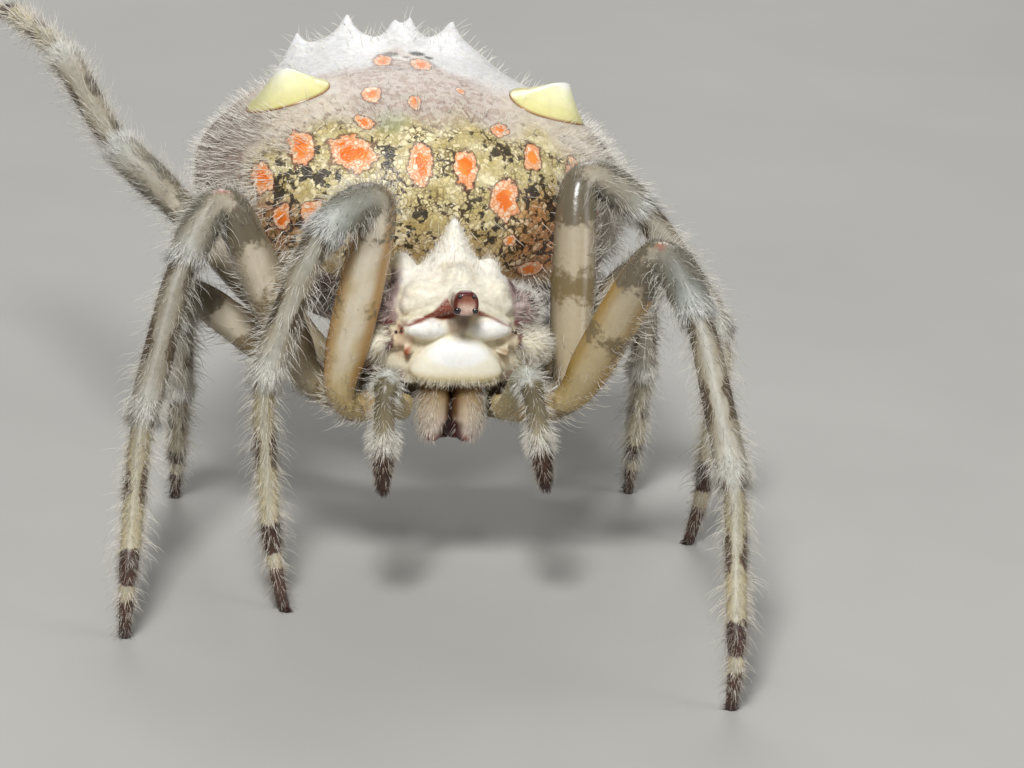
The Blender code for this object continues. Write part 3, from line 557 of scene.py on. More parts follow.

# LEGS
# Eight legs, each one skin from its root to the tip of its foot, with a bulge to every
# length, a soft waist at every joint, brown and cream bands, and a painted sheen: a silvery
# stripe along the front and the back, with painted shade at its edges. The first two pairs
# have a tiny red-brown dot on the knee.

SEGMENTS = {
    1: (7.1, 2.6, 5.2, 5.2, 1.8), 2: (7.1, 2.6, 5.0, 5.1, 1.8),
    3: (4.9, 1.9, 3.1, 3.1, 1.5), 4: (6.9, 2.4, 4.7, 4.6, 1.6),
}
ROOTS = {1: (1.35, 1.65, 5.65), 2: (1.62, 2.55, 5.6), 3: (1.62, 3.65, 5.6), 4: (1.3, 4.75, 5.65)}
HIPS = {1: (3.55, 0.75, 5.75), 2: (3.9, 2.1, 5.7), 3: (3.75, 3.6, 5.7), 4: (3.1, 5.2, 5.8)}
STOUTNESS = {1: 1.0, 2: 1.0, 3: 0.84, 4: 0.92}
# Heading from straight ahead and pitch of each length; no pitch: it reaches down to its foot
POSE = {
    ("right", 1): ((78, 81), (-60, -22), (-119, -73), (38, None), (38, -69)),
    ("right", 2): ((-99, 64), (-50, -50), (-33, -63), (-11, None), (-11, -100)),
    ("right", 3): ((-106, 33), (-190, -50), (-190, -66), (-190, None), (-190, -80)),
    ("right", 4): ((-99, 45), (-120, 34), (-163, 23), (-165, 2), (-165, -28)),
    ("left", 1): ((34, 61), (29, -42), (18, -58), (-6, None), (-6, -100)),
    ("left", 2): ((173, 69), (100, -32), (88, -55), (-91, None), (-91, -78)),
    ("left", 3): ((132, 38), (150, -50), (165, -66), (175, None), (175, -75)),
    ("left", 4): ((147, 2), (165, -12), (184, -28), (190, None), (190, -55)),
}
# (place in lengths from the root, half thickness)
GIRTHS = (
    (0, 0.4), (0.45, 0.48), (0.95, 0.43), (1.0, 0.4), (1.06, 0.47), (1.25, 0.65), (1.5, 0.69), (1.8, 0.64),
    (1.96, 0.55), (2.03, 0.51), (2.2, 0.56), (2.55, 0.6), (2.85, 0.56), (2.97, 0.5), (3.0, 0.4), (3.05, 0.4),
    (3.2, 0.44), (3.6, 0.47), (3.85, 0.48), (3.97, 0.45), (4.0, 0.3), (4.04, 0.32), (4.3, 0.32), (4.85, 0.29),
    (4.97, 0.27), (5.0, 0.21), (5.06, 0.23), (5.3, 0.22), (5.6, 0.19), (5.9, 0.17), (6.0, 0.12),
)
# Colours along the leg, by place in lengths from the root: pale skin, and its dark bands
PALE = (
    (0.0, "#a08c64"), (0.8, "#b09a6c"), (1.1, "#bfa972"), (1.5, "#bca87c"), (1.8, "#aa9c80"),
    (2.05, "#918a76"), (2.3, "#77756a"), (2.62, "#7e8178"), (2.8, "#a6aba7"), (2.95, "#c8ccca"),
    (3.05, "#8c836e"), (3.4, "#9f947d"), (3.7, "#a09580"), (3.86, "#bcb8ab"), (3.96, "#d2d0c7"),
    (4.06, "#9c9172"), (4.6, "#c2b590"), (5.1, "#cabd9e"), (5.3, "#ad9c80"), (6.0, "#8f7a60"),
)
DARK = (
    (0.0, "#6f5f43"), (1.3, "#86734c"), (1.8, "#6f6552"), (2.1, "#6f6a5a"), (2.6, "#757165"),
    (3.2, "#60543f"), (3.6, "#574a36"), (4.05, "#6e5e48"), (4.4, "#5a4735"), (4.9, "#442c24"),
    (5.1, "#54392e"), (5.6, "#523a2f"), (6.0, "#2a1512"),
)
# Above 0 in a dark band, below 0 in a pale one
BANDING = (
    (0, 0.3), (0.5, -0.5), (1.02, 0.2), (1.1, -1), (1.38, -0.5), (1.44, 0.6), (1.52, 0.6),
    (1.58, -0.7), (1.72, -0.8), (1.79, 0.7), (1.98, 0.6), (2.04, -0.2), (2.3, 0.5), (2.58, 0.3),
    (2.66, -1), (2.98, -1), (3.02, 0.9), (3.13, 0.7), (3.2, -0.8), (3.33, -0.9), (3.4, 0.8),
    (3.6, 0.9), (3.67, -1), (3.86, -1), (3.92, 0.2), (4.0, 0.3), (4.06, -0.8), (4.24, -0.8),
    (4.34, 0.7), (4.48, 0.7), (4.56, -1), (4.8, -1), (4.86, 1.4), (5.02, 1.4), (5.06, -1),
    (5.2, -1), (5.32, 0.7), (6, 1.6),
)
# How light the patella, the tibia and the metatarsus of a leg are, where it differs
LIGHTNESS = {
    ("right", 1): (1.0, 1.12, 1.0), ("right", 2): (0.88, 0.8, 0.85), ("left", 1): (0.78, 1.1, 0.95),
}
LEG_AROUND, LEG_RINGS = 16, 128
LEG_ROUNDING, TOE_REACH = 1.2, 0.3
RAISED_LEG = ("right", 4)
# The way to the camera, which the painted sheen stripe and the knees' dots face
CAMERA_WAY = np.array([-0.19, -0.93, 0.31])
# Painted shade at the edges of the foremost thighs, amber as light seen through the chitin,
# and how strong it is
AMBER = {"left": ("#ad8834", 0.8), "right": ("#bd8c48", 0.7)}


def heading(azimuth, pitch):
    """A direction turned from -Y towards +X by the azimuth, and up by the pitch."""
    a, p = np.radians(azimuth), np.radians(pitch)
    return np.array([np.cos(p) * np.sin(a), -np.cos(p) * np.cos(a), np.sin(p)])


def leg_joints(side, pair):
    """The root, the hip and the ends of the five lengths, each a heading from the last."""
    mirror = np.array([1.0 if side == "left" else -1.0, 1, 1])
    lengths, pose = SEGMENTS[pair], POSE[side, pair]
    joints = [mirror * ROOTS[pair], mirror * HIPS[pair]]
    for k, (azimuth, pitch) in enumerate(pose):
        if pitch is None:
            drop = lengths[4] * np.sin(np.radians(-pose[4][1]))
            pitch = -np.degrees(np.arcsin(min(1.0, (joints[-1][2] - drop) / lengths[3])))
        joints.append(joints[-1] + lengths[k] * heading(azimuth, pitch))
    if (side, pair) != RAISED_LEG:
        joints[-1] = joints[-1] + TOE_REACH * unit(joints[-1] - joints[-2])
    return joints


def banded(places, bands):
    """Colours between the bands' colours, by place along the piece."""
    levels, codes = zip(*bands)
    return np.stack([np.interp(places, levels, [hue(code)[k] for code in codes]) for k in range(3)], -1)


def by_point(first, rows, last, around):
    """Values of a tube's points: the first pole's, each ring's all the way round, the last pole's."""
    return np.concatenate([[first], np.repeat(rows, around, 0), [last]])


legs = {}
for side, pair in POSE:
    joints = leg_joints(side, pair)
    route = smooth_route(joints, LEG_ROUNDING)
    marks = lengths_of(route)
    stops = [marks[np.argmin(np.linalg.norm(route - joint, axis=1))] for joint in joints[1:-1]]
    places = np.linspace(0.02, marks[-1] - 0.05, LEG_RINGS)
    shares = np.interp(places, [0.0, *stops, marks[-1]], np.arange(7.0))
    girth = np.interp(shares, *zip(*GIRTHS)) * STOUTNESS[pair]
    points, tangents, centres = tube(route, places, girth, LEG_AROUND)
    points[:, 2] = np.maximum(points[:, 2], 0.0)
    share = by_point(0.0, shares, 6.0, LEG_AROUND)
    waver = share + 0.02 * ripple(points, 0.8, 31 + pair)
    grey = soft(3.9, 2.2, share) * (0.75 if pair > 1 else 0.1)
    tint = over(banded(waver, PALE), "#b0a590", grey)
    band = sum(np.interp(waver + d, *zip(*BANDING)) for d in (-0.05, -0.025, 0, 0.025, 0.05)) / 5
    gloss = np.interp(share, (0, 1.0, 1.9, 2.4, 6.0), (0.5, 0.95, 0.9, 0.3, 0.3))
    left_edge = 0.12 * ((0 if side == "left" else 4) + pair - 1)
    leg = shell(
        points, *net(LEG_AROUND, LEG_RINGS), (0.02 + left_edge, 0.12, 0.12 + left_edge, 0.48), tint,
        banded(waver, DARK), gloss=gloss, band=band + 0.2 * ripple(points, 0.5, 36)
    )
    leg["share"] = share
    leg["lie"] = lie = by_point(tangents[0], tangents, tangents[-1], LEG_AROUND)
    # Painted sheen: a silvery stripe along the front and the back, as seen from the camera, that
    # lifts the dark bands, and painted shade at the edges beside it
    facing = unit(CAMERA_WAY - lie * (lie @ CAMERA_WAY)[:, None])
    ahead = np.abs(np.sum(facing * leg["ways"], -1))
    stripe = soft(0.78, 0.98, ahead + 0.08 * ripple(points, 0.7, 37))
    stripe = stripe * soft(1.0, 1.3, share) * soft(5.9, 5.2, share)
    thigh = soft(1.0, 1.15, share) * soft(2.1, 1.9, share)
    shin = soft(2.9, 3.05, share) * soft(4.1, 3.95, share)
    hold = 0.75 - (0.6 if pair > 1 else 0.35) * thigh + 0.4 * shin
    leg["band"] *= 1 - 0.4 * soft(2.0, 2.3, share) * soft(4.8, 4.6, share)
    leg["band"] -= hold * stripe * soft(4.9, 4.7, share)
    # Painted shade: darker edges, where the leg turns away from the camera
    edge = soft(0.88, 0.5, ahead) * soft(0.9, 1.2, share) * soft(4.2, 3.9, share)
    leg["tint"] = over(leg["tint"], "#6d6350", edge * 0.5)
    # Painted light: amber at the foremost thighs' edges, where they turn from the camera
    if pair == 1:
        amber, strength = AMBER[side]
        leg["tint"] = over(leg["tint"], amber, thigh * soft(0.9, 0.55, ahead) * strength)
    pale = soft(1.9, 2.3, share)[:, None]
    strength = (0.52 if pair == 1 else 0.34) + (0.35 if side == "right" else -0.25) * thigh
    strength = strength * (1 - 0.6 * soft(2.0, 2.2, share) * soft(2.8, 2.6, share))
    # The painted sheen's colour, greyer from the patella on
    sheen_tint = hue("#d2c8b4") * (1 - pale) + hue("#aeb0a8") * pale
    leg["tint"] += (sheen_tint - leg["tint"]) * (strength * stripe)[:, None]
    if (side, pair) == ("right", 1):
        leg["band"] -= 0.5 * thigh
    patella, tibia, metatarsus = LIGHTNESS.get((side, pair), (0.92, 1.0, 1.0))
    levels = (1.0, patella, patella, 1.0, tibia, tibia, metatarsus)
    leg["tint"] *= np.interp(share, (1.9, 2.1, 2.7, 3.0, 3.1, 3.9, 4.1), levels)[:, None]
    if pair < 3:
        above = unit(joints[2] - (joints[1] + joints[4]) / 2)
        ring = np.argmin(np.abs(shares - 2))
        dot_middle = centres[ring] + girth[ring] * unit(above + 0.9 * CAMERA_WAY)
        knee_dot = soft(0.17, 0.06, np.linalg.norm(points - dot_middle, axis=-1)) * 0.8
        leg["tint"] = over(leg["tint"], "#b06450", knee_dot)
        leg["band"] -= 2 * knee_dot
    leg["stripe"], leg["joints"] = stripe, joints
    legs[side, pair] = shells[f"leg_{side}_{pair}"] = leg

# FEELERS AND JAWS
# Two short feelers hang before the jaws on bent arms, each with a pale knee and a dark
# foot. The jaws are two stout pale pillars that darken to maroon at the tips, with the
# dark mouth parts between and behind them.

FEELERS = {
    "right": [
        (-1.45, 0.6, 6.2), (-1.55, 0.2, 5.85), (-1.95, -0.35, 6.35), (-2.3, -1.15, 7.4), (-2.46, -1.75, 7.25),
        (-2.5, -2.0, 6.75), (-2.5, -2.2, 5.75), (-2.49, -2.4, 4.85), (-2.48, -2.52, 4.25),
    ],
    "left": [
        (1.45, 0.6, 6.2), (1.5, 0.2, 5.85), (1.65, -0.35, 6.4), (1.82, -1.15, 7.5), (1.95, -1.7, 7.35),
        (2.05, -1.95, 6.85), (2.2, -2.15, 5.9), (2.36, -2.32, 4.95), (2.46, -2.42, 4.35),
    ],
}
# (share of the length, half thickness), and colours by share of the length
FEELER_GIRTHS = (
    (0, 0.28), (0.2, 0.32), (0.42, 0.38), (0.5, 0.36), (0.56, 0.3), (0.76, 0.31), (0.79, 0.26),
    (0.88, 0.24), (1.0, 0.12),
)
FEELER_BANDS = (
    (0.0, "#a8956c"), (0.25, "#a0936c"), (0.36, "#85826c"), (0.44, "#a9a898"), (0.48, "#cbccc6"),
    (0.5, "#70674a"), (0.56, "#6a6048"), (0.66, "#80755a"), (0.76, "#b3ab96"), (0.8, "#6a5040"),
    (0.86, "#4c342a"), (1.0, "#26130f"),
)
JAW_ROUTE = np.array([
    (0.5, 0.8, 6.7), (0.52, 0.72, 6.2), (0.53, 0.64, 5.7), (0.52, 0.66, 5.25), (0.48, 0.76, 4.98),
    (0.4, 0.92, 4.84),
])
JAW_GIRTHS = ((0, 0.36), (0.3, 0.49), (0.6, 0.47), (0.85, 0.33), (1.0, 0.12))
JAW_BANDS = (
    (0.0, "#6f5636"), (0.2, "#8f7650"), (0.45, "#bfab90"), (0.74, "#cfbfb2"), (0.86, "#a0655a"),
    (0.94, "#5a211b"), (1.0, "#300c0a"),
)
LIMB_ROUNDING = 0.3
FEELER_AROUND, FEELER_RINGS = 16, 70
JAW_AROUND, JAW_RINGS = 20, 30
MOUTH_AROUND, MOUTH_RINGS, MOUTH_ROOM = 32, 18, (0.92, 0.01, 0.98, 0.1)
MOUTH_MIDDLE, MOUTH_RADII = (0.0, 1.12, 5.5), (0.5, 0.34, 0.72)


def limb(joints, girths, bands, around, rings, left_edge, mirror=0):
    """A tube through rounded joints, with bands.

    A jaw's mirror is -1 or 1 for its side, and its inner side is brown and maroon.
    """
    route = smooth_route(joints, LIMB_ROUNDING)
    shares = np.linspace(0.01, 0.995, rings)
    girth = np.interp(shares, *zip(*girths))
    points, tangents = tube(route, shares * lengths_of(route)[-1], girth, around)[:2]
    share = by_point(0.0, shares, 1.0, around)
    tint = banded(share + 0.02 * ripple(points, 0.6, 51), bands)
    if mirror:
        side = points[:, 0] * mirror
        tint = over(tint, "#6a4a2c", soft(0.32, 0.1, side) * soft(0.7, 0.5, share))
        tint = over(tint, "#4a1512", soft(0.42, 0.2, side - 0.35 * (share - 0.7)) * soft(0.55, 0.66, share))
    room = (left_edge, 0.01, left_edge + 0.09, 0.1)
    made = shell(points, *net(around, rings), room, tint, gloss=0.6)
    made["share"] = share
    made["lie"] = by_point(tangents[0], tangents, tangents[-1], around)
    return made


for number, (side, joints) in enumerate(FEELERS.items()):
    left_edge, mirror = 0.15 + 0.2 * number, 1 if side == "left" else -1
    shells[f"feeler_{side}"] = limb(
        joints, FEELER_GIRTHS, FEELER_BANDS, FEELER_AROUND, FEELER_RINGS, left_edge
    )
    shells[f"jaw_{side}"] = limb(
        JAW_ROUTE * (mirror, 1, 1), JAW_GIRTHS, JAW_BANDS, JAW_AROUND, JAW_RINGS, left_edge + 0.1, mirror
    )
mouth = globe(MOUTH_AROUND, MOUTH_RINGS) * MOUTH_RADII + MOUTH_MIDDLE
mouth_tint = painted(mouth, "#3c1614", ("#6e4a2e", soft(5.5, 6.0, mouth[:, 2])))
shells["mouth"] = shell(mouth, *net(MOUTH_AROUND, MOUTH_RINGS), MOUTH_ROOM, mouth_tint, gloss=0.8)

# SPINNERETS
# A dark cluster of four short spigots on a low mound below the rear of the abdomen, all of
# hard skin: short tubes that close in a rounded end.

SPIGOT_ROOT, SPIGOT_AXIS = np.array([0.0, 12.9, 6.6]), unit(np.array([0.0, 0.35, -0.94]))
SPIGOT_AROUND, SPIGOT_RINGS = 20, 14
# (shift from the root, half thickness, length) of the mound and the four spigots
SPIGOTS = [((0, 0, 0), 0.66, 0.85)]
SPIGOTS += [((0.3 * x, 0.3 * y, -0.5), 0.25, 0.8) for x in (-0.7, 0.7) for y in (-0.7, 0.7)]
for number, (shift, girth, length) in enumerate(SPIGOTS):
    start = SPIGOT_ROOT + np.array(shift)
    route = np.array([start, start + SPIGOT_AXIS * length])
    places = np.linspace(0, length, SPIGOT_RINGS)
    radii = girth * np.sqrt(np.clip(1 - (places / length) ** 3 * 0.8, 0.05, 1))
    points = tilted(tube(route, places, radii, SPIGOT_AROUND)[0])
    tint = painted(points, "#7a5a42", ("#3a231b", soft(-0.5, 0.5, ripple(points, 0.4, 61))))
    room = (0.6 + 0.06 * number, 0.01, 0.65 + 0.06 * number, 0.08)
    shells[f"spigot_{number}"] = shell(points, *net(SPIGOT_AROUND, SPIGOT_RINGS), room, tint)

# THE SKIN
# All of the above is one skin: thin, slightly translucent chitin, glossy on the thighs and
# the clypeus. On the front of the abdomen it shows a mosaic of cream and olive cells in a
# fine dark net, broken by ragged orange spots.


def make_mesh(name, points, faces, places=None):
    """A smooth mesh from arrays in the working frame, with its unwrap."""
    mesh = bpy.data.meshes.new(name)
    mesh.vertices.add(len(points))
    mesh.vertices.foreach_set("co", ((points - BOX_MIDDLE) * MM).ravel())
    mesh.loops.add(3 * len(faces))
    mesh.loops.foreach_set("vertex_index", faces.ravel().astype(np.int32))
    mesh.polygons.add(len(faces))
    mesh.polygons.foreach_set("loop_start", np.arange(0, 3 * len(faces), 3, dtype=np.int32))
    mesh.update(calc_edges=True)
    mesh.shade_smooth()
    if places is not None:
        mesh.uv_layers.new(name="OFBake").data.foreach_set("uv", places.reshape(-1).astype(np.float32))
    return mesh


def add_tint(mesh, tint, name="tint"):
    """A colour for each point, which the materials read by its name."""
    layer = mesh.color_attributes.new(name=name, type="FLOAT_COLOR", domain="POINT")
    full = np.concatenate([np.clip(tint, 0, 1), np.ones((len(tint), 1))], -1)
    layer.data.foreach_set("color", full.ravel().astype(np.float32))


def add_field(mesh, name, values):
    """A number for each point, which the materials read by its name."""
    layer = mesh.attributes.new(name=name, type="FLOAT", domain="POINT")
    layer.data.foreach_set("value", values.astype(np.float32))


def add_piece(mesh, material, slot, *nodes):
    """A piece of the spider that rides on its body and stands for some of its solids."""
    mesh.materials.append(material)
    piece = bpy.data.objects.new(mesh.name, mesh)
    bpy.context.scene.collection.objects.link(piece)
    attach(piece, "root")
    if nodes:
        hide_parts(*nodes)


def new_material(name):
    """A material, its node tree and its shader."""
    material = bpy.data.materials.new(name)
    material.use_nodes = True
    tree = material.node_tree
    return material, tree, tree.nodes["Principled BSDF"]


def wire(made, inputs):
    """Each input of a node, by its name or number, set to a value or linked to a socket."""
    for key, value in inputs.items():
        if isinstance(value, bpy.types.NodeSocket):
            made.id_data.links.new(value, made.inputs[key])
        else:
            made.inputs[key].default_value = value
    return made


def node(tree, kind, inputs, **settings):
    """A new node with its inputs and settings."""
    made = tree.nodes.new(kind)
    for key, value in settings.items():
        setattr(made, key, value)
    return wire(made, inputs)


def tree_of(*values):
    """The node tree of the first of these values that is a socket."""
    return next(value.id_data for value in values if isinstance(value, bpy.types.NodeSocket))


def stretched(value, low, high, first, last, how="LINEAR"):
    """A value carried from low..high to first..last, and held at the ends."""
    inputs = {"Value": value, 1: low, 2: high, 3: first, 4: last}
    return node(tree_of(value), "ShaderNodeMapRange", inputs, interpolation_type=how).outputs[0]


def ramp(value, low, high):
    """A smooth step of a value from low to high."""
    return stretched(value, low, high, 0.0, 1.0, "SMOOTHSTEP")


def mixed(share, first, second, how="MIX"):
    """Two colours mixed by a share; a colour given as a code is made linear."""
    first, second = ((*hue(c), 1.0) if isinstance(c, str) else c for c in (first, second))
    inputs, tree = {0: share, 6: first, 7: second}, tree_of(share, first, second)
    return node(tree, "ShaderNodeMix", inputs, data_type="RGBA", blend_type=how).outputs[2]


def maths(how, first, second):
    """Two values through one step of arithmetic."""
    inputs = {0: first, 1: second}
    return node(tree_of(first, second), "ShaderNodeMath", inputs, operation=how).outputs[0]


def times(first, second):
    return maths("MULTIPLY", first, second)


def plus(first, second):
    return maths("ADD", first, second)


def minus(first, second):
    return maths("SUBTRACT", first, second)


def noise(place, scale, detail=3.0, roughness=0.5, output="Fac"):
    """Smooth noise of this many waves in a metre."""
    inputs = {"Vector": place, "Scale": scale, "Detail": detail, "Roughness": roughness}
    return node(tree_of(place), "ShaderNodeTexNoise", inputs).outputs[output]


def cells(place, scale, feature="F1"):
    """Random cells: their colours, or with DISTANCE_TO_EDGE how far the edge of each is."""
    made = node(tree_of(place), "ShaderNodeTexVoronoi", {"Vector": place, "Scale": scale}, feature=feature)
    return made.outputs["Color" if feature == "F1" else "Distance"]


def bumped(height, strength, distance):
    """A normal raised by a height."""
    inputs = {"Height": height, "Strength": strength, "Distance": distance}
    return node(tree_of(height), "ShaderNodeBump", inputs).outputs[0]


def field(tree, name, output="Fac"):
    """What add_tint or add_field has put on the mesh under a name."""
    return node(tree, "ShaderNodeAttribute", {}, attribute_name=name).outputs[output]


def mottle_group():
    """A tint made lighter and darker by fine noise, and the noise itself for relief."""
    group = bpy.data.node_groups.new("mottle", "ShaderNodeTree")
    for name, kind in (("Tint", "Color"), ("Scale", "Float"), ("Depth", "Float")):
        group.interface.new_socket(name, in_out="INPUT", socket_type=f"NodeSocket{kind}")
    for name, kind in (("Colour", "Color"), ("Grain", "Float")):
        group.interface.new_socket(name, in_out="OUTPUT", socket_type=f"NodeSocket{kind}")
    given, result = group.nodes.new("NodeGroupInput").outputs, group.nodes.new("NodeGroupOutput")
    grain = noise(node(group, "ShaderNodeTexCoord", {}).outputs["Object"], given["Scale"], roughness=0.6)
    low, high = minus(1.0, given["Depth"]), plus(1.0, times(given["Depth"], 0.6))
    shade = stretched(grain, 0.3, 0.7, low, high)
    wire(result, {"Colour": mixed(1.0, given["Tint"], shade, "MULTIPLY"), "Grain": grain})
    return group


mottle = mottle_group()


def mottled(tree, tint, scale, depth):
    """The mottle group's colour and grain for a tint."""
    inputs = {"Tint": tint, "Scale": scale, "Depth": depth}
    made = node(tree, "ShaderNodeGroup", {}, node_tree=mottle)
    return wire(made, inputs).outputs


# Sizes of noise and cells, as waves or cells in a metre
CLOUD_SCALE, LOOSE_SCALE, BLOTCH_SCALE, UNEVEN_SCALE, DRIFT_SCALE = 1300.0, 2900.0, 3200.0, 5200.0, 6000.0
GRAIN_SCALE, CELL_SCALE = 6300.0, 2500.0
DRIFT = 0.00022

skin_material, tree, shader = new_material("skin")
place = node(tree, "ShaderNodeTexCoord", {}).outputs["Object"]
cloud = noise(place, CLOUD_SCALE)
drift_inputs = {0: noise(place, DRIFT_SCALE, 2.0, output="Color"), 1: (DRIFT,) * 3}
drift = node(tree, "ShaderNodeVectorMath", drift_inputs, operation="MULTIPLY").outputs[0]
bent = node(tree, "ShaderNodeVectorMath", {0: place, 1: drift}).outputs[0]

# Bands: the dark colour where the band field, made ragged by noise, is above 0
uneven = minus(noise(place, UNEVEN_SCALE), 0.5)
ragged = plus(field(tree, "band"), times(uneven, 1.8))
colour = mixed(ramp(ragged, -0.3, 0.3), field(tree, "tint", "Color"), field(tree, "dark", "Color"))
skin_depth = stretched(field(tree, "gloss"), 0.4, 0.8, 0.16, 0.05)
colour, grain = mottled(tree, colour, UNEVEN_SCALE, skin_depth)

# Mosaic: small grains in brown lines, cream and yellow, but many of them dark at the edges
# of large cells and most of them where the ink is
small = node(tree, "ShaderNodeSeparateColor", {"Color": cells(bent, GRAIN_SCALE)})
small_grey, chance = small.outputs[0], small.outputs[1]
small_edge = cells(bent, GRAIN_SCALE, "DISTANCE_TO_EDGE")
large_edge = cells(bent, CELL_SCALE, "DISTANCE_TO_EDGE")
small_line = ramp(small_edge, 0.17, 0.04)
celled = mixed(1.0, colour, stretched(small_grey, 0.0, 1.0, 0.82, 1.16), "MULTIPLY")
celled = mixed(times(ramp(small_grey, 0.55, 0.9), 0.45), celled, "#fdf5d6")
celled = mixed(times(small_line, stretched(cloud, 0.4, 0.6, 0.25, 0.85)), celled, "#77653e")
blotch = ramp(noise(place, BLOTCH_SCALE, 2.0), 0.42, 0.6)
inked = times(field(tree, "ink"), blotch)
edged = times(ramp(large_edge, 0.17, 0.02), stretched(cloud, 0.4, 0.62, 0.06, 0.7))
share = plus(times(inked, 0.9), edged)
odds = plus(times(chance, 0.65), plus(times(uneven, 1.6), 0.2))
darkened = ramp(minus(share, odds), -0.06, 0.06)
celled = mixed(times(darkened, 0.9), celled, mixed(inked, "#3d2e20", "#1b171e"))
colour = mixed(field(tree, "mosaic"), colour, celled)

# Flecks: pale and brown-pink grains of the back and flanks
fleck = field(tree, "fleck")
grains = mixed(ramp(small_grey, 0.25, 0.65), "#b39a8c", "#ece4d8")
colour = mixed(times(fleck, 0.4), colour, grains)
flecked = minus(times(edged, times(fleck, 0.4)), chance)
colour = mixed(times(ramp(flecked, -0.03, 0.05), 0.7), colour, "#93796c")

# Spots: an orange heart, round it peach cells in orange lines, and a thin dark rim
loose = minus(noise(place, LOOSE_SCALE), 0.5)
ragged = plus(field(tree, "spot"), times(loose, 1.2))
ragged = plus(ragged, times(uneven, 0.5))
colour = mixed(times(ramp(ragged, -0.26, -0.08), 0.75), colour, "#6b4034")
heart = mixed(ramp(cloud, 0.4, 0.65), "#f07818", "#f99a44")
peach = mixed(times(small_line, 0.7), mixed(small_grey, "#f4b684", "#fbe6c8"), "#e2803a")
inner = ramp(minus(ragged, times(small_grey, 0.14)), 0.3, 0.44)
colour = mixed(ramp(ragged, -0.06, 0.06), colour, mixed(inner, peach, heart))
roughness = stretched(field(tree, "gloss"), 0.0, 1.0, 0.62, 0.2)
relief = times(maths("MINIMUM", small_edge, 0.3), field(tree, "mosaic"))
relief = bumped(plus(relief, times(grain, 0.4)), 0.4, 0.00006)
wire(shader, {
    "Base Color": colour, "Roughness": roughness, "Normal": relief,
    "Subsurface Weight": 0.35, "Subsurface Radius": (1.0, 0.85, 0.65), "Subsurface Scale": 0.00045,
})


def joined(key):
    """One array out of those that the shells keep under this key."""
    return np.concatenate([piece[key] for piece in shells.values()])


starts = np.cumsum([0] + [len(piece["points"]) for piece in shells.values()])
skin_faces = np.concatenate([piece["faces"] + start for piece, start in zip(shells.values(), starts)])
skin_mesh = make_mesh("spider_skin", joined("points"), skin_faces, joined("places"))
for key in ("tint", "dark"):
    add_tint(skin_mesh, joined(key), key)
for key in PAINT:
    add_field(skin_mesh, key, joined(key))
flesh = ["prosoma", "abdomen", "spinnerets"]
flesh += [f"chelicera_{side}" for side in FEELERS]
flesh += [f"palp_{side}_{part}" for side in FEELERS for part in ("upper", "lower")]
flesh += [f"leg_{side}_{pair}_{part}" for side, pair in POSE for part in ("coxa", "femur", "tibia", "foot")]
add_piece(skin_mesh, skin_material, "spider_skin", *flesh)

# HUMPS
# Two waxy, pale yellow cones on the shoulders, smooth and faintly see-through, each in a
# thin brown crease of the skin. Their blunt tops lean outwards and pale to near white: the
# wax's own paleness and a painted highlight.

# Side: middle, half width and half depth
HUMPS = {-1: (-4.35, 8.6, 1.12, 1.3), 1: (3.7, 8.25, 1.24, 1.25)}
# (share of the hump's reach from its crest, height above the back)
HUMP_RISE = (
    (0, 0.86), (0.1, 0.84), (0.24, 0.7), (0.45, 0.46), (0.68, 0.24), (0.88, 0.1), (0.97, 0.04),
    (1.0, -0.03), (1.04, -0.3),
)
# (height above the rim, colour); the near white towards the top is partly a painted highlight
HUMP_HUES = (
    (0, "#8a5030"), (0.03, "#a8804c"), (0.07, "#e8e09c"), (0.3, "#f3eeb8"), (0.6, "#f8f5ce"),
    (0.85, "#fcfbea"),
)
HUMP_AROUND, HUMP_RINGS = 56, 40
# How far a hump's middle line moves outwards for each length that it goes back
HUMP_SLANT = 0.3


def back_height(x, y):
    """Height of the upright back above x and y, by halving the share of its radius."""
    side, ahead = x / ABDOMEN_RADII[0], (y - ABDOMEN_CENTRE[1]) / ABDOMEN_RADII[1]
    low, high = np.zeros(x.shape), np.ones(x.shape)
    for _ in range(22):
        middle = (low + high) / 2
        inside = abdomen_level(side, ahead, middle) < 1
        low, high = np.where(inside, middle, low), np.where(inside, high, middle)
    return ABDOMEN_CENTRE[2] + ABDOMEN_RADII[2] * low + back_rise(x, y) * np.clip(3 * low, 0, 1)


def hump_points(side, around, rings):
    """A raised patch of the back, closed below the skin by a smaller ring.

    From the crest the height falls with the share of the way to the rim, whose reach
    changes with the turn.
    """
    share = np.interp(np.linspace(0, 1, rings), (0, 0.3, 0.85, 1), (0.03, 0.25, 0.97, 1.04))[:, None]
    turn = 2 * np.pi * np.arange(around) / around
    middle_x, middle_y, wide, deep = HUMPS[side]
    reach = 1 + 0.04 * np.cos(3 * turn + 1)
    lean = (0.35 if side < 0 else 0.6) * side * np.maximum(1 - share, 0) ** 1.2
    y = middle_y - 0.1 * (1 - share) + deep * share * reach * np.sin(turn)
    x = middle_x + lean + wide * share * reach * np.cos(turn) + HUMP_SLANT * side * (y - middle_y)
    outer_lift = 0.04 * np.cos(turn - (0 if side > 0 else np.pi)) * (1 - share)
    rise = np.interp(share, *zip(*HUMP_RISE)) + outer_lift
    top = np.stack([x, y, back_height(x, y) + rise * (1 - 0.25 * (share < 0.1))], -1)
    middle = top[-1:].mean(1, keepdims=True)
    under = middle + 0.5 * (top[-1:] - middle) - (0, 0, 0.3)
    rows = np.concatenate([top, under]).reshape(-1, 3)
    crest = top[0].mean(0) + (0, 0, 0.02)
    return np.concatenate([crest[None], rows, rows[-around:].mean(0)[None]])


def outward_faces(points, around, rings):
    """The net's faces for a closed piece's points, turned outwards."""
    return outward(points - points.mean(0), *net(around, rings))[0]


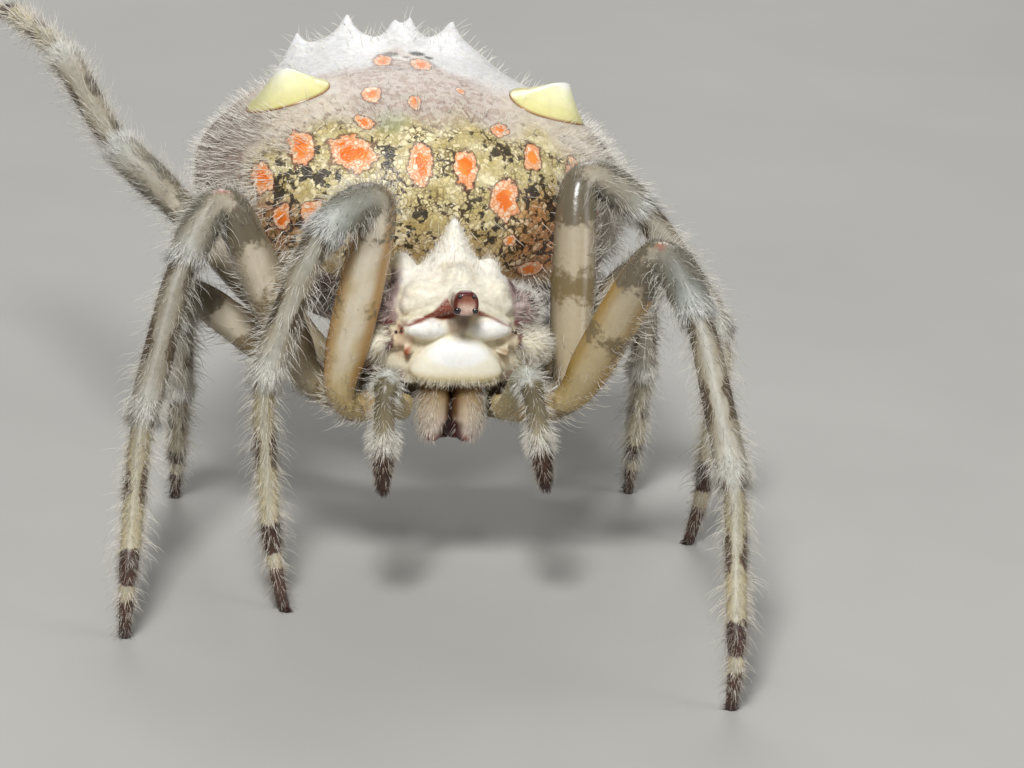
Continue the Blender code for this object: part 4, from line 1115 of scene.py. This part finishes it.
wax, tree, shader = new_material("hump_wax")
colour, grain = mottled(tree, field(tree, "tint", "Color"), 1800.0, 0.1)
wire(shader, {
    "Base Color": colour, "Normal": bumped(grain, 0.15, 0.00008), "Roughness": 0.28,
    "Subsurface Weight": 0.5, "Subsurface Radius": (1.0, 0.85, 0.3), "Subsurface Scale": 0.0006,
})
humps = [hump_points(side, HUMP_AROUND, HUMP_RINGS - 1) for side in HUMPS]
hump_faces = [
    outward_faces(points, HUMP_AROUND, HUMP_RINGS) + k * len(points) for k, points in enumerate(humps)
]
upright_humps = np.concatenate(humps)
rise = upright_humps[:, 2] - back_height(upright_humps[:, 0], upright_humps[:, 1])
hump_mesh = make_mesh("humps", tilted(upright_humps), np.concatenate(hump_faces))
add_tint(hump_mesh, banded(rise, HUMP_HUES))
add_piece(hump_mesh, wax, "hump_wax", "hump_left", "hump_right")

# EYES
# A red-brown mound stands out over the face with four glossy black eyes, the lower pair
# the larger. Two more small eyes shine at each side of the head.

TURRET_Z = 9.55
# Middle and radius
EYES = (
    (-0.21, -0.77, 9.78, 0.075), (0.21, -0.77, 9.78, 0.075), (-0.265, -0.76, 9.36, 0.125),
    (0.265, -0.77, 9.36, 0.11), (-1.68, 0.42, 8.33, 0.05), (1.68, 0.42, 8.33, 0.05),
    (-1.82, 0.6, 8.24, 0.05), (1.82, 0.6, 8.24, 0.05),
)
MOUND_AROUND, MOUND_RINGS, MOUND_POWER = 48, 34, 2.5
# Half width by share of the way out to the hollowed face, and how far out each share is
MOUND_WIDTHS = ((0, 0.35, 0.55, 0.7, 0.8, 0.86, 0.93, 1), (0.42, 0.34, 0.37, 0.385, 0.35, 0.28, 0.16, 0.02))
MOUND_REACHES = ((0, 0.55, 0.8, 0.86, 1), (0.7, -0.55, -0.8, -0.84, -0.74))
EYE_AROUND, EYE_RINGS = 24, 15


def mound_points():
    """Rings from inside the brow out to a hollowed face: an arch with a round top and steep
    sides that leans out over the face."""
    level = np.linspace(0, 1, MOUND_RINGS)[:, None]
    turn = 2 * np.pi * np.arange(MOUND_AROUND) / MOUND_AROUND
    out, width = np.interp(level, *MOUND_REACHES), np.interp(level, *MOUND_WIDTHS)
    square = np.abs(np.cos(turn)) ** MOUND_POWER + np.abs(np.sin(turn)) ** MOUND_POWER
    square = square ** (-1 / MOUND_POWER)
    x = width * square * np.cos(turn) * (1 - 0.06 * np.sin(turn))
    z = TURRET_Z - 0.1 * np.maximum(out + 0.6, 0) + 0.98 * width * square * np.sin(turn)
    rows = np.stack([x, out + 0.08 * (z - TURRET_Z), z], -1).reshape(-1, 3)
    ends = [rows[:MOUND_AROUND].mean(0), rows[-MOUND_AROUND:].mean(0)]
    return np.concatenate([ends[:1], rows, ends[1:]])


mound_material, tree, shader = new_material("eye_mound")
colour, grain = mottled(tree, field(tree, "tint", "Color"), 9000.0, 0.3)
normal = bumped(grain, 0.3, 0.00003)
wire(shader, {"Base Color": colour, "Normal": normal, "Roughness": 0.35, "Coat Weight": 0.3})

mound = mound_points()
x, y, z = (mound - (0, 0, TURRET_Z)).T
from_middle = (np.abs(x) ** 2.6 + np.abs(z) ** 2.6) ** (1 / 2.6)
face_share = soft(0.3, 0.22, from_middle) * soft(-0.6, -0.72, y)
mound_tint = painted(
    mound, "#f4eedc",
    ("#5a180f", soft(-0.42, -0.56, y) * soft(-0.4, -0.1, z + 0.2)),
    ("#5e1c12", soft(0.25, 0.33, np.abs(x)) * soft(0.1, -0.2, y)),
    ("#9c5a44", face_share),
    ("#c7ab9a", face_share * soft(0.16, -0.12, z)),
    ("#b09484", soft(-0.1, -0.22, z) * soft(0.24, 0.18, np.abs(x)) * soft(0.2, -0.2, y)),
)
mound_mesh = make_mesh("eye_turret_mound", mound, outward_faces(mound, MOUND_AROUND, MOUND_RINGS))
add_tint(mound_mesh, mound_tint)
add_piece(mound_mesh, mound_material, "eye_mound", "eye_turret")

eye_material, tree, shader = new_material("eye_glass")
wire(shader, {"Base Color": (*hue("#0d0706"), 1.0), "Roughness": 0.04, "Coat Weight": 1.0})
ball = globe(EYE_AROUND, EYE_RINGS)
ball_faces = outward_faces(ball, EYE_AROUND, EYE_RINGS)
eye_points = np.concatenate([np.array(eye[:3]) + eye[3] * ball for eye in EYES])
eye_faces = np.concatenate([ball_faces + k * len(ball) for k in range(len(EYES))])
add_piece(make_mesh("eyes", eye_points, eye_faces), eye_material, "eye_mound")

# FANGS AND CLAWS
# Dark horn: a short fang folded under each jaw, and two fine hooks on every foot. Each is
# a tapering tube with a bend.

HOOK_AROUND, HOOK_RINGS = 8, 9
FANG_LENGTH, FANG_GIRTH = 0.36, 0.13
CLAW_LENGTH, CLAW_GIRTH = 0.22, 0.035

horn, tree, shader = new_material("dark_horn")
wire(shader, {"Base Color": mottled(tree, (*hue("#3c120c"), 1.0), 7000.0, 0.6)[0], "Roughness": 0.22})


def hook(start, way, bend, length, girth):
    """A hook: a tapering tube whose route swings from way towards bend."""
    t = np.linspace(0, 1, HOOK_RINGS)
    route = start + length * (way * t[:, None] + bend * 0.6 * t[:, None] ** 2)
    places = np.linspace(0, lengths_of(route)[-1], HOOK_RINGS)
    return tube(route, places, girth * np.linspace(1, 0.08, HOOK_RINGS) ** 0.8, HOOK_AROUND)[0]


hooks = []
for mirror in (-1, 1):
    start, way = np.array([mirror * 0.4, 0.62, 5.02]), unit(np.array([-mirror * 0.9, 0.1, -0.2]))
    hooks.append(hook(start, way, np.array([-mirror * 0.1, 0.4, -0.2]), FANG_LENGTH, FANG_GIRTH))
for leg in legs.values():
    tip, way = leg["points"][-1], leg["lie"][-1]
    across = unit(np.cross(way, (0, 0.3, 1)))
    for mirror in (-1, 1):
        start = tip - way * 0.12 + across * 0.05 * mirror
        start[2] = max(start[2], 0.1)
        flat = unit(way * (1, 1, 0) + across * mirror * 0.3)
        hooks.append(hook(start, flat, np.array([0, 0, -0.1]), CLAW_LENGTH, CLAW_GIRTH))
hook_faces = np.concatenate([
    outward_faces(points, HOOK_AROUND, HOOK_RINGS) + k * len(points) for k, points in enumerate(hooks)
])
add_piece(make_mesh("fangs_and_claws", np.concatenate(hooks), hook_faces), horn, None)

# COAT
# Fine pale hairs stand over the skin, each a thin bent spike with three sides: short fuzz,
# longer side hairs and long bristles. They follow the lie of the coat and carry the
# skin's markings at their roots.

hairs = np.random.default_rng(20)
# Depth of a root below the skin, the least height over the floor, the spread of a hair's
# angles in degrees, and a weight that leaves no face without a chance
ROOT_DEPTH, FLOOR_GAP, ANGLE_SPREAD, TRACE = 0.03, 0.015, 8, 1e-9
# Turns of a hair's three corners, and the size of its patch on the unwrap
CORNERS, PATCH = (0.5, 2.6, 4.7), 0.003


def roots_on(piece, count, weight):
    """Random roots on a shell: a face by its area times its weight, then a place on it."""
    faces = piece["faces"]
    corners = piece["points"][faces]
    area = np.linalg.norm(np.cross(corners[:, 1] - corners[:, 0], corners[:, 2] - corners[:, 0]), axis=1)
    chance = area * weight[faces].mean(1)
    pick = hairs.choice(len(faces), count, p=chance / chance.sum())
    share = hairs.dirichlet((1, 1, 1), count)[:, :, None]
    found = {
        key: np.sum(piece[key][faces[pick]] * (share if piece[key].ndim > 1 else share[:, :, 0]), 1)
        for key in ("points", "ways", "tint", "dark", "lie", "share", "band") if key in piece
    }
    found["tint"] = np.where(found["band"][:, None] > 0, found["dark"], found["tint"])
    found["ways"] = unit(found["ways"])
    found["places"] = np.sum(piece["places"][pick] * share, 1)
    return found


def spikes(found, length, width, stand, lay, tint, rings, stray):
    """Points, faces, unwrap places and tints of bent spikes.

    A spike leaves its root by the angle stand above the lie of the coat and bends down
    to the angle lay. It has rings of three corners and a tip, and is closed below the skin.
    """
    count, out = len(length), found["ways"]
    lie = unit(found["lie"] - out * dot(found["lie"], out))
    wide = np.cross(out, lie)
    turn = hairs.normal(0, stray, (count, 1))
    lie, wide = lie * np.cos(turn) + wide * np.sin(turn), wide * np.cos(turn) - lie * np.sin(turn)
    angles = stand[:, None] + (lay - stand)[:, None] * np.linspace(0, 1, rings)
    angles = np.radians(angles + hairs.normal(0, ANGLE_SPREAD, (count, 1)))
    ways = np.cos(angles)[..., None] * lie[:, None] + np.sin(angles)[..., None] * out[:, None]
    middles = [found["points"] - out * ROOT_DEPTH]
    for k in range(rings):
        middles.append(middles[-1] + ways[:, k] * (length / rings)[:, None])
    rows = []
    for k, thick in enumerate(np.linspace(1.0, 0.5, rings)):
        keel = np.cross(ways[:, k], wide)
        for corner in CORNERS:
            off = (np.cos(corner) * wide + np.sin(corner) * keel) * (width * thick / 2)
            rows.append(middles[k] + off)
    points = np.stack(rows + [middles[rings]], 1)
    points[..., 2] = np.maximum(points[..., 2], FLOOR_GAP)
    ring = [(0, 1, 2)]
    for k in range(0, 3 * rings - 3, 3):
        for a, b in ((0, 1), (1, 2), (2, 0)):
            ring += [(k + b, k + a, k + 3 + b), (k + 3 + b, k + a, k + 3 + a)]
    last = 3 * rings
    ring += [(last - 2, last - 3, last), (last - 1, last - 2, last), (last - 3, last - 1, last)]
    ring = np.array(ring)
    sample = points[0] - points[0].mean(0)
    if np.sum(dot(sample[ring[:, 0]], np.cross(sample[ring[:, 1]], sample[ring[:, 2]]))) < 0:
        ring = ring[:, ::-1]
    faces = (ring[None] + points.shape[1] * np.arange(count)[:, None, None]).reshape(-1, 3)
    patch = [(x, 0.8 * k / rings) for k in range(rings) for x in (0, 0.5, 1)] + [(0.5, 1)]
    places = (found["places"][:, None] + np.array(patch)[None] * PATCH).reshape(-1, 2)[faces]
    return points.reshape(-1, 3), faces, places, np.repeat(tint, points.shape[1], 0)


def grown(found, reach, stand, bend, width, colour, pale, size=1.0, rings=3, stray=0.22):
    """Spikes on found roots, their lengths and rises drawn between two limits.

    A spike has its root's tint, with a colour over it by the share pale.
    """
    count = len(found["points"])
    length, up = size * hairs.uniform(*reach, count), hairs.uniform(*stand, count)
    tint = over(found["tint"], colour, np.zeros(count) + pale)
    return spikes(found, length, width, up, up - bend, tint, rings, stray)


def coat_piece(name, parts):
    """One piece of coat out of several groups of spikes."""
    starts = np.cumsum([0] + [len(part[0]) for part in parts])
    points, places, tints = (np.concatenate([part[k] for part in parts]) for k in (0, 2, 3))
    faces = np.concatenate([part[1] + start for part, start in zip(parts, starts)])
    mesh = make_mesh(name, points, faces, places)
    add_tint(mesh, tints)
    add_piece(mesh, hair_material, "spider_skin")


hair_material, tree, shader = new_material("coat_hair")
hair_colour = mottled(tree, field(tree, "tint", "Color"), 2600.0, 0.15)[0]
wire(shader, {"Base Color": hair_colour, "Roughness": 0.4})

# Count, length, width, rise, bend, rings, whiteness where pale and where dark, and weight
# on the bare thighs
LEG_HAIRS = (
    (2300, (0.12, 0.2), 0.013, (16, 32), 10, 2, 0.22, 0.08, 0.02),
    (2900, (0.22, 0.36), 0.015, (36, 58), 24, 2, 0.62, 0.4, 0.02),
    (1300, (0.4, 0.62), 0.018, (50, 72), 30, 3, 0.85, 0.7, 0.03),
    (380, (0.72, 1.05), 0.02, (60, 82), 40, 3, 0.9, 0.85, 0.06),
)
# Tufts of the feet and of the ends of the patella, tibia and foot: from where to where,
# count, colour and size
LEG_TUFTS = (
    (4.05, 5.5, 700, "#efe6d0", 0.72), (2.84, 2.98, 420, "#f5f4f0", 1), (3.84, 3.98, 560, "#f8f6ee", 1),
    (5.86, 5.98, 70, "#3a2018", 0.45),
)
for (side, pair), leg in legs.items():
    share, joints, size = leg["share"], leg["joints"], STOUTNESS[pair] ** 0.5
    below = unit((joints[1] + joints[4]) / 2 - joints[2])
    under = soft(-0.1, 0.75, leg["ways"] @ below)
    thigh = soft(0.9, 1.05, share) * soft(1.98, 1.8, share)
    dense = np.interp(share, (0, 1, 4, 4.1, 5, 6), (0.4, 0.8, 0.9, 1.3, 1.5, 1.5))
    parts = []
    for count, reach, width, stand, bend, rings, pale, on_dark, bare in LEG_HAIRS:
        weight = (1 - thigh) + thigh * (bare + 0.8 * under)
        # Fewer hairs grow along the legs' painted sheen stripe
        found = roots_on(leg, count, weight * dense * (1 - 0.8 * leg["stripe"]))
        far = np.interp(found["share"], (0, 1, 4.8, 5.1, 6), (0.7, 1, 1, 0.65, 0.45)) * size
        shown = np.where(found["band"] > 0, on_dark, pale) * np.interp(found["share"], (5.3, 5.9), (1, 0.3))
        parts.append(grown(found, reach, stand, bend, width, "#f8f3e8", shown, far, rings))
    for low, high, count, colour, tuft_size in LEG_TUFTS:
        weight = soft(low - 0.02, low + 0.05, share) * soft(high + 0.02, high - 0.02, share) + TRACE
        found = roots_on(leg, count, weight)
        shown = np.where(found["band"] > 0, 0.5, 0.85)
        parts.append(grown(found, (0.32, 0.5), (30, 58), 10, 0.02, colour, shown, size * tuft_size))
    coat_piece(f"coat_leg_{side}_{pair}", parts)

abdomen = shells["abdomen"]
x, y, z = tilted(abdomen["points"], True).T
bare = np.ones(len(x))
for side, (middle_x, middle_y, wide, deep) in HUMPS.items():
    off_x = x - middle_x - HUMP_SLANT * side * (y - middle_y)
    bare = bare * soft(0.95, 1.12, np.hypot(off_x / wide, (y - middle_y) / deep))
flanks = soft(3.2, 5.4, np.abs(x)) + soft(10.5, 12.5, y)
# Density, count, length, width, rise, bend, rings, whiteness and density on the mosaic
ABDOMEN_HAIRS = (
    (0.5, 10800, (0.13, 0.22), 0.015, (18, 38), 10, 2, 0.72, 0.06),
    (0.1 + 1.9 * flanks, 1500, (0.4, 0.75), 0.021, (50, 78), 26, 3, 0.88, 0.1),
)
for name, low, high in (("front", -99, 6.6), ("middle", 6.6, 9.8), ("rear", 9.8, 99)):
    inside = (y >= low) & (y < high)
    parts = []
    for density, count, reach, width, stand, bend, rings, pale, mosaic_share in ABDOMEN_HAIRS:
        weight = density * inside * (0.02 + 0.98 * bare)
        weight = weight * (1 - (1 - mosaic_share) * abdomen["mosaic"]) + TRACE
        found = roots_on(abdomen, count, weight)
        found["lie"] = tilted(found["points"], True) * (0.08, 0, 0) + (0, 0.9, -0.5)
        parts.append(grown(found, reach, stand, bend, width, "#f6f1e6", pale, rings=rings, stray=0.35))
    coat_piece(f"coat_abdomen_{name}", parts)

head_shell = shells["head"]
x, y, z = head_shell["points"].T
smooth_side = soft(np.where(x < 0, 1.85, 1.7), np.where(x < 0, 1.5, 1.38), np.abs(x))
smooth_face = soft(1.1, 0.4, y) * smooth_side * soft(6.7, 7.0, z)
smooth_face = smooth_face * soft(9.35, 9.05, z + 0.36 * np.abs(x) - 0.1)
brow = soft(1.3, 0.7, y) * soft(1.95, 1.6, np.abs(x)) * soft(8.9, 9.2, z + 0.3 * np.abs(x))
sides = soft(1.75, 2.1, np.abs(x)) * soft(6.9, 7.4, z)
# Weight, count, length, width, rise, stray and rings
HEAD_HAIRS = (
    ((1 - smooth_face) * (0.5 + 0.5 * sides), 3600, (0.12, 0.22), 0.015, (15, 50), 0.6, 2),
    ((1 - smooth_face) * sides * np.where(x > 0, 1.4, 1), 2900, (0.26, 0.48), 0.018, (30, 68), 0.45, 3),
    (soft(9.7, 10.1, z), 1000, (0.16, 0.3), 0.014, (30, 60), 0.3, 3),
    (brow, 2400, (0.09, 0.17), 0.013, (20, 55), 0.5, 2),
    (smooth_face, 260, (0.1, 0.16), 0.013, (20, 50), 0.8, 2),
)
parts = []
for weight, count, reach, width, stand, stray, rings in HEAD_HAIRS:
    found = roots_on(head_shell, count, weight + TRACE)
    lie = unit(found["points"] - np.array([0, 0.8, 9.0])) + np.array([0, 0.4, 0.2])
    found["lie"] = np.where(found["points"][:, 2:] > 9.7, np.array([0, 0.05, 1.0]), lie)
    parts.append(grown(found, reach, stand, 15, width, "#faf7ee", 0.8, rings=rings, stray=stray))
fringe = soft(6.72, 6.8, z) * soft(7.08, 6.95, z) * soft(0.9, 0.5, y) * soft(1.75, 1.5, np.abs(x))
found = roots_on(head_shell, 420, fringe + TRACE)
found["lie"] = np.array([0.3, 0, 0]) * found["points"] + (0.0, -0.35, -1.0)
parts.append(grown(found, (0.2, 0.4), (20, 50), 5, 0.017, "#f4ecd8", 0.85, stray=0.15))
coat_piece("coat_head", parts)

# Count, from where to where, length, rise, whiteness and colour
FEELER_HAIRS = (
    (460, 0.0, 0.34, (0.12, 0.25), (25, 55), 0.7, "#f2ecdc"),
    (200, 0.48, 0.72, (0.12, 0.2), (20, 40), 0.3, "#b9b29c"),
    (300, 0.4, 0.74, (0.34, 0.52), (55, 75), 0.85, "#f6f2e8"),
    (160, 0.44, 0.5, (0.24, 0.38), (40, 66), 0.8, "#f5f0e4"),
    (560, 0.71, 0.8, (0.36, 0.56), (42, 74), 0.95, "#fbf7ec"),
    (900, 0.82, 1.0, (0.16, 0.3), (22, 46), 0.4, "#6a5040"),
    (110, 0.8, 0.95, (0.3, 0.42), (45, 65), 0.7, "#d9cdb8"),
)
parts = []
for side in FEELERS:
    feeler, jaw = shells[f"feeler_{side}"], shells[f"jaw_{side}"]
    share = feeler["share"]
    for count, low, high, reach, stand, pale, colour in FEELER_HAIRS:
        weight = soft(low - 0.03, low + 0.03, share) * soft(high + 0.03, high - 0.03, share) + TRACE
        parts.append(grown(roots_on(feeler, count, weight), reach, stand, 14, 0.019, colour, pale))
    outward_way = np.array([0.95 if side == "left" else -0.95, -0.3, 0])
    outer = soft(-0.1, 0.8, jaw["ways"] @ outward_way) + 0.015
    found = roots_on(jaw, 460, outer * soft(0.05, 0.2, jaw["share"]))
    parts.append(grown(found, (0.2, 0.44), (25, 55), 14, 0.016, "#f5efe0", 0.7))
coat_piece("coat_feelers_and_jaws", parts)

# STUDIO
# A pale plain floor under three soft square lights, from in front, beside and behind, seen
# through a long lens about 20 centimetres away.

FLOOR_REACH = 3.0
# Where the lights look, and the camera's place in the working frame and its three axes
AIM = np.array([0.001, 0.0, 0.009])
CAMERA_PLACE = np.array([-36.335, -186.887, 68.787])
CAMERA_BACK = (-0.18964, -0.93196, 0.30902)
CAMERA_RIGHT = (0.98177, -0.17784, 0.06634)
CAMERA_UP = (-0.0069, 0.31597, 0.94875)

floor_mesh = bpy.data.meshes.new("floor")
floor_corners = [(FLOOR_REACH * x, FLOOR_REACH * y, 0) for x, y in ((-1, -1), (1, -1), (1, 1), (-1, 1))]
floor_mesh.from_pydata(floor_corners, [], [(0, 1, 2, 3)])
floor = bpy.data.objects.new("floor", floor_mesh)
bpy.context.scene.collection.objects.link(floor)
floor_material, tree, shader = new_material("studio_floor")
floor_colour = mottled(tree, (*hue("#b3b1ac"), 1.0), 60.0, 0.05)[0]
wire(shader, {"Base Color": floor_colour, "Roughness": 0.85})
floor_mesh.materials.append(floor_material)


def area_light(name, place, size, power):
    """A square soft light at a place, turned to the spider."""
    lamp = bpy.data.lights.new(name, "AREA")
    lamp.shape, lamp.size, lamp.energy = "SQUARE", size, power
    lit = bpy.data.objects.new(name, lamp)
    back = unit(np.array(place, float) - AIM)
    across = unit(np.cross((0.01, 0.02, 1), back))
    turn = np.stack([across, np.cross(back, across), back], -1)
    lit.matrix_world = Matrix.Translation(place) @ Matrix(turn.tolist()).to_4x4()
    bpy.context.scene.collection.objects.link(lit)


area_light("key", (-0.06, -0.17, 0.2), 0.05, 0.64)
area_light("fill", (0.2, -0.12, 0.1), 0.12, 0.12)
area_light("rim", (0.03, 0.2, 0.16), 0.12, 0.24)
world = bpy.data.worlds.new("studio")
world.use_nodes = True
wire(world.node_tree.nodes["Background"], {"Color": (0.98, 0.98, 1.0, 1.0), "Strength": 0.14})
bpy.context.scene.world = world
bpy.context.scene.view_settings.view_transform = "Standard"

lens = bpy.data.cameras.new("camera")
lens.lens, lens.sensor_width = 235.5, 36.0
lens.clip_start, lens.clip_end = 0.01, 10.0
camera = bpy.data.objects.new("camera", lens)
turn = Matrix(np.stack([CAMERA_RIGHT, CAMERA_UP, CAMERA_BACK], -1).tolist()).to_4x4()
camera.matrix_world = Matrix.Translation(((CAMERA_PLACE - BOX_MIDDLE) * MM).tolist()) @ turn
bpy.context.scene.collection.objects.link(camera)
bpy.context.scene.camera = camera

bpy.context.view_layer.update()
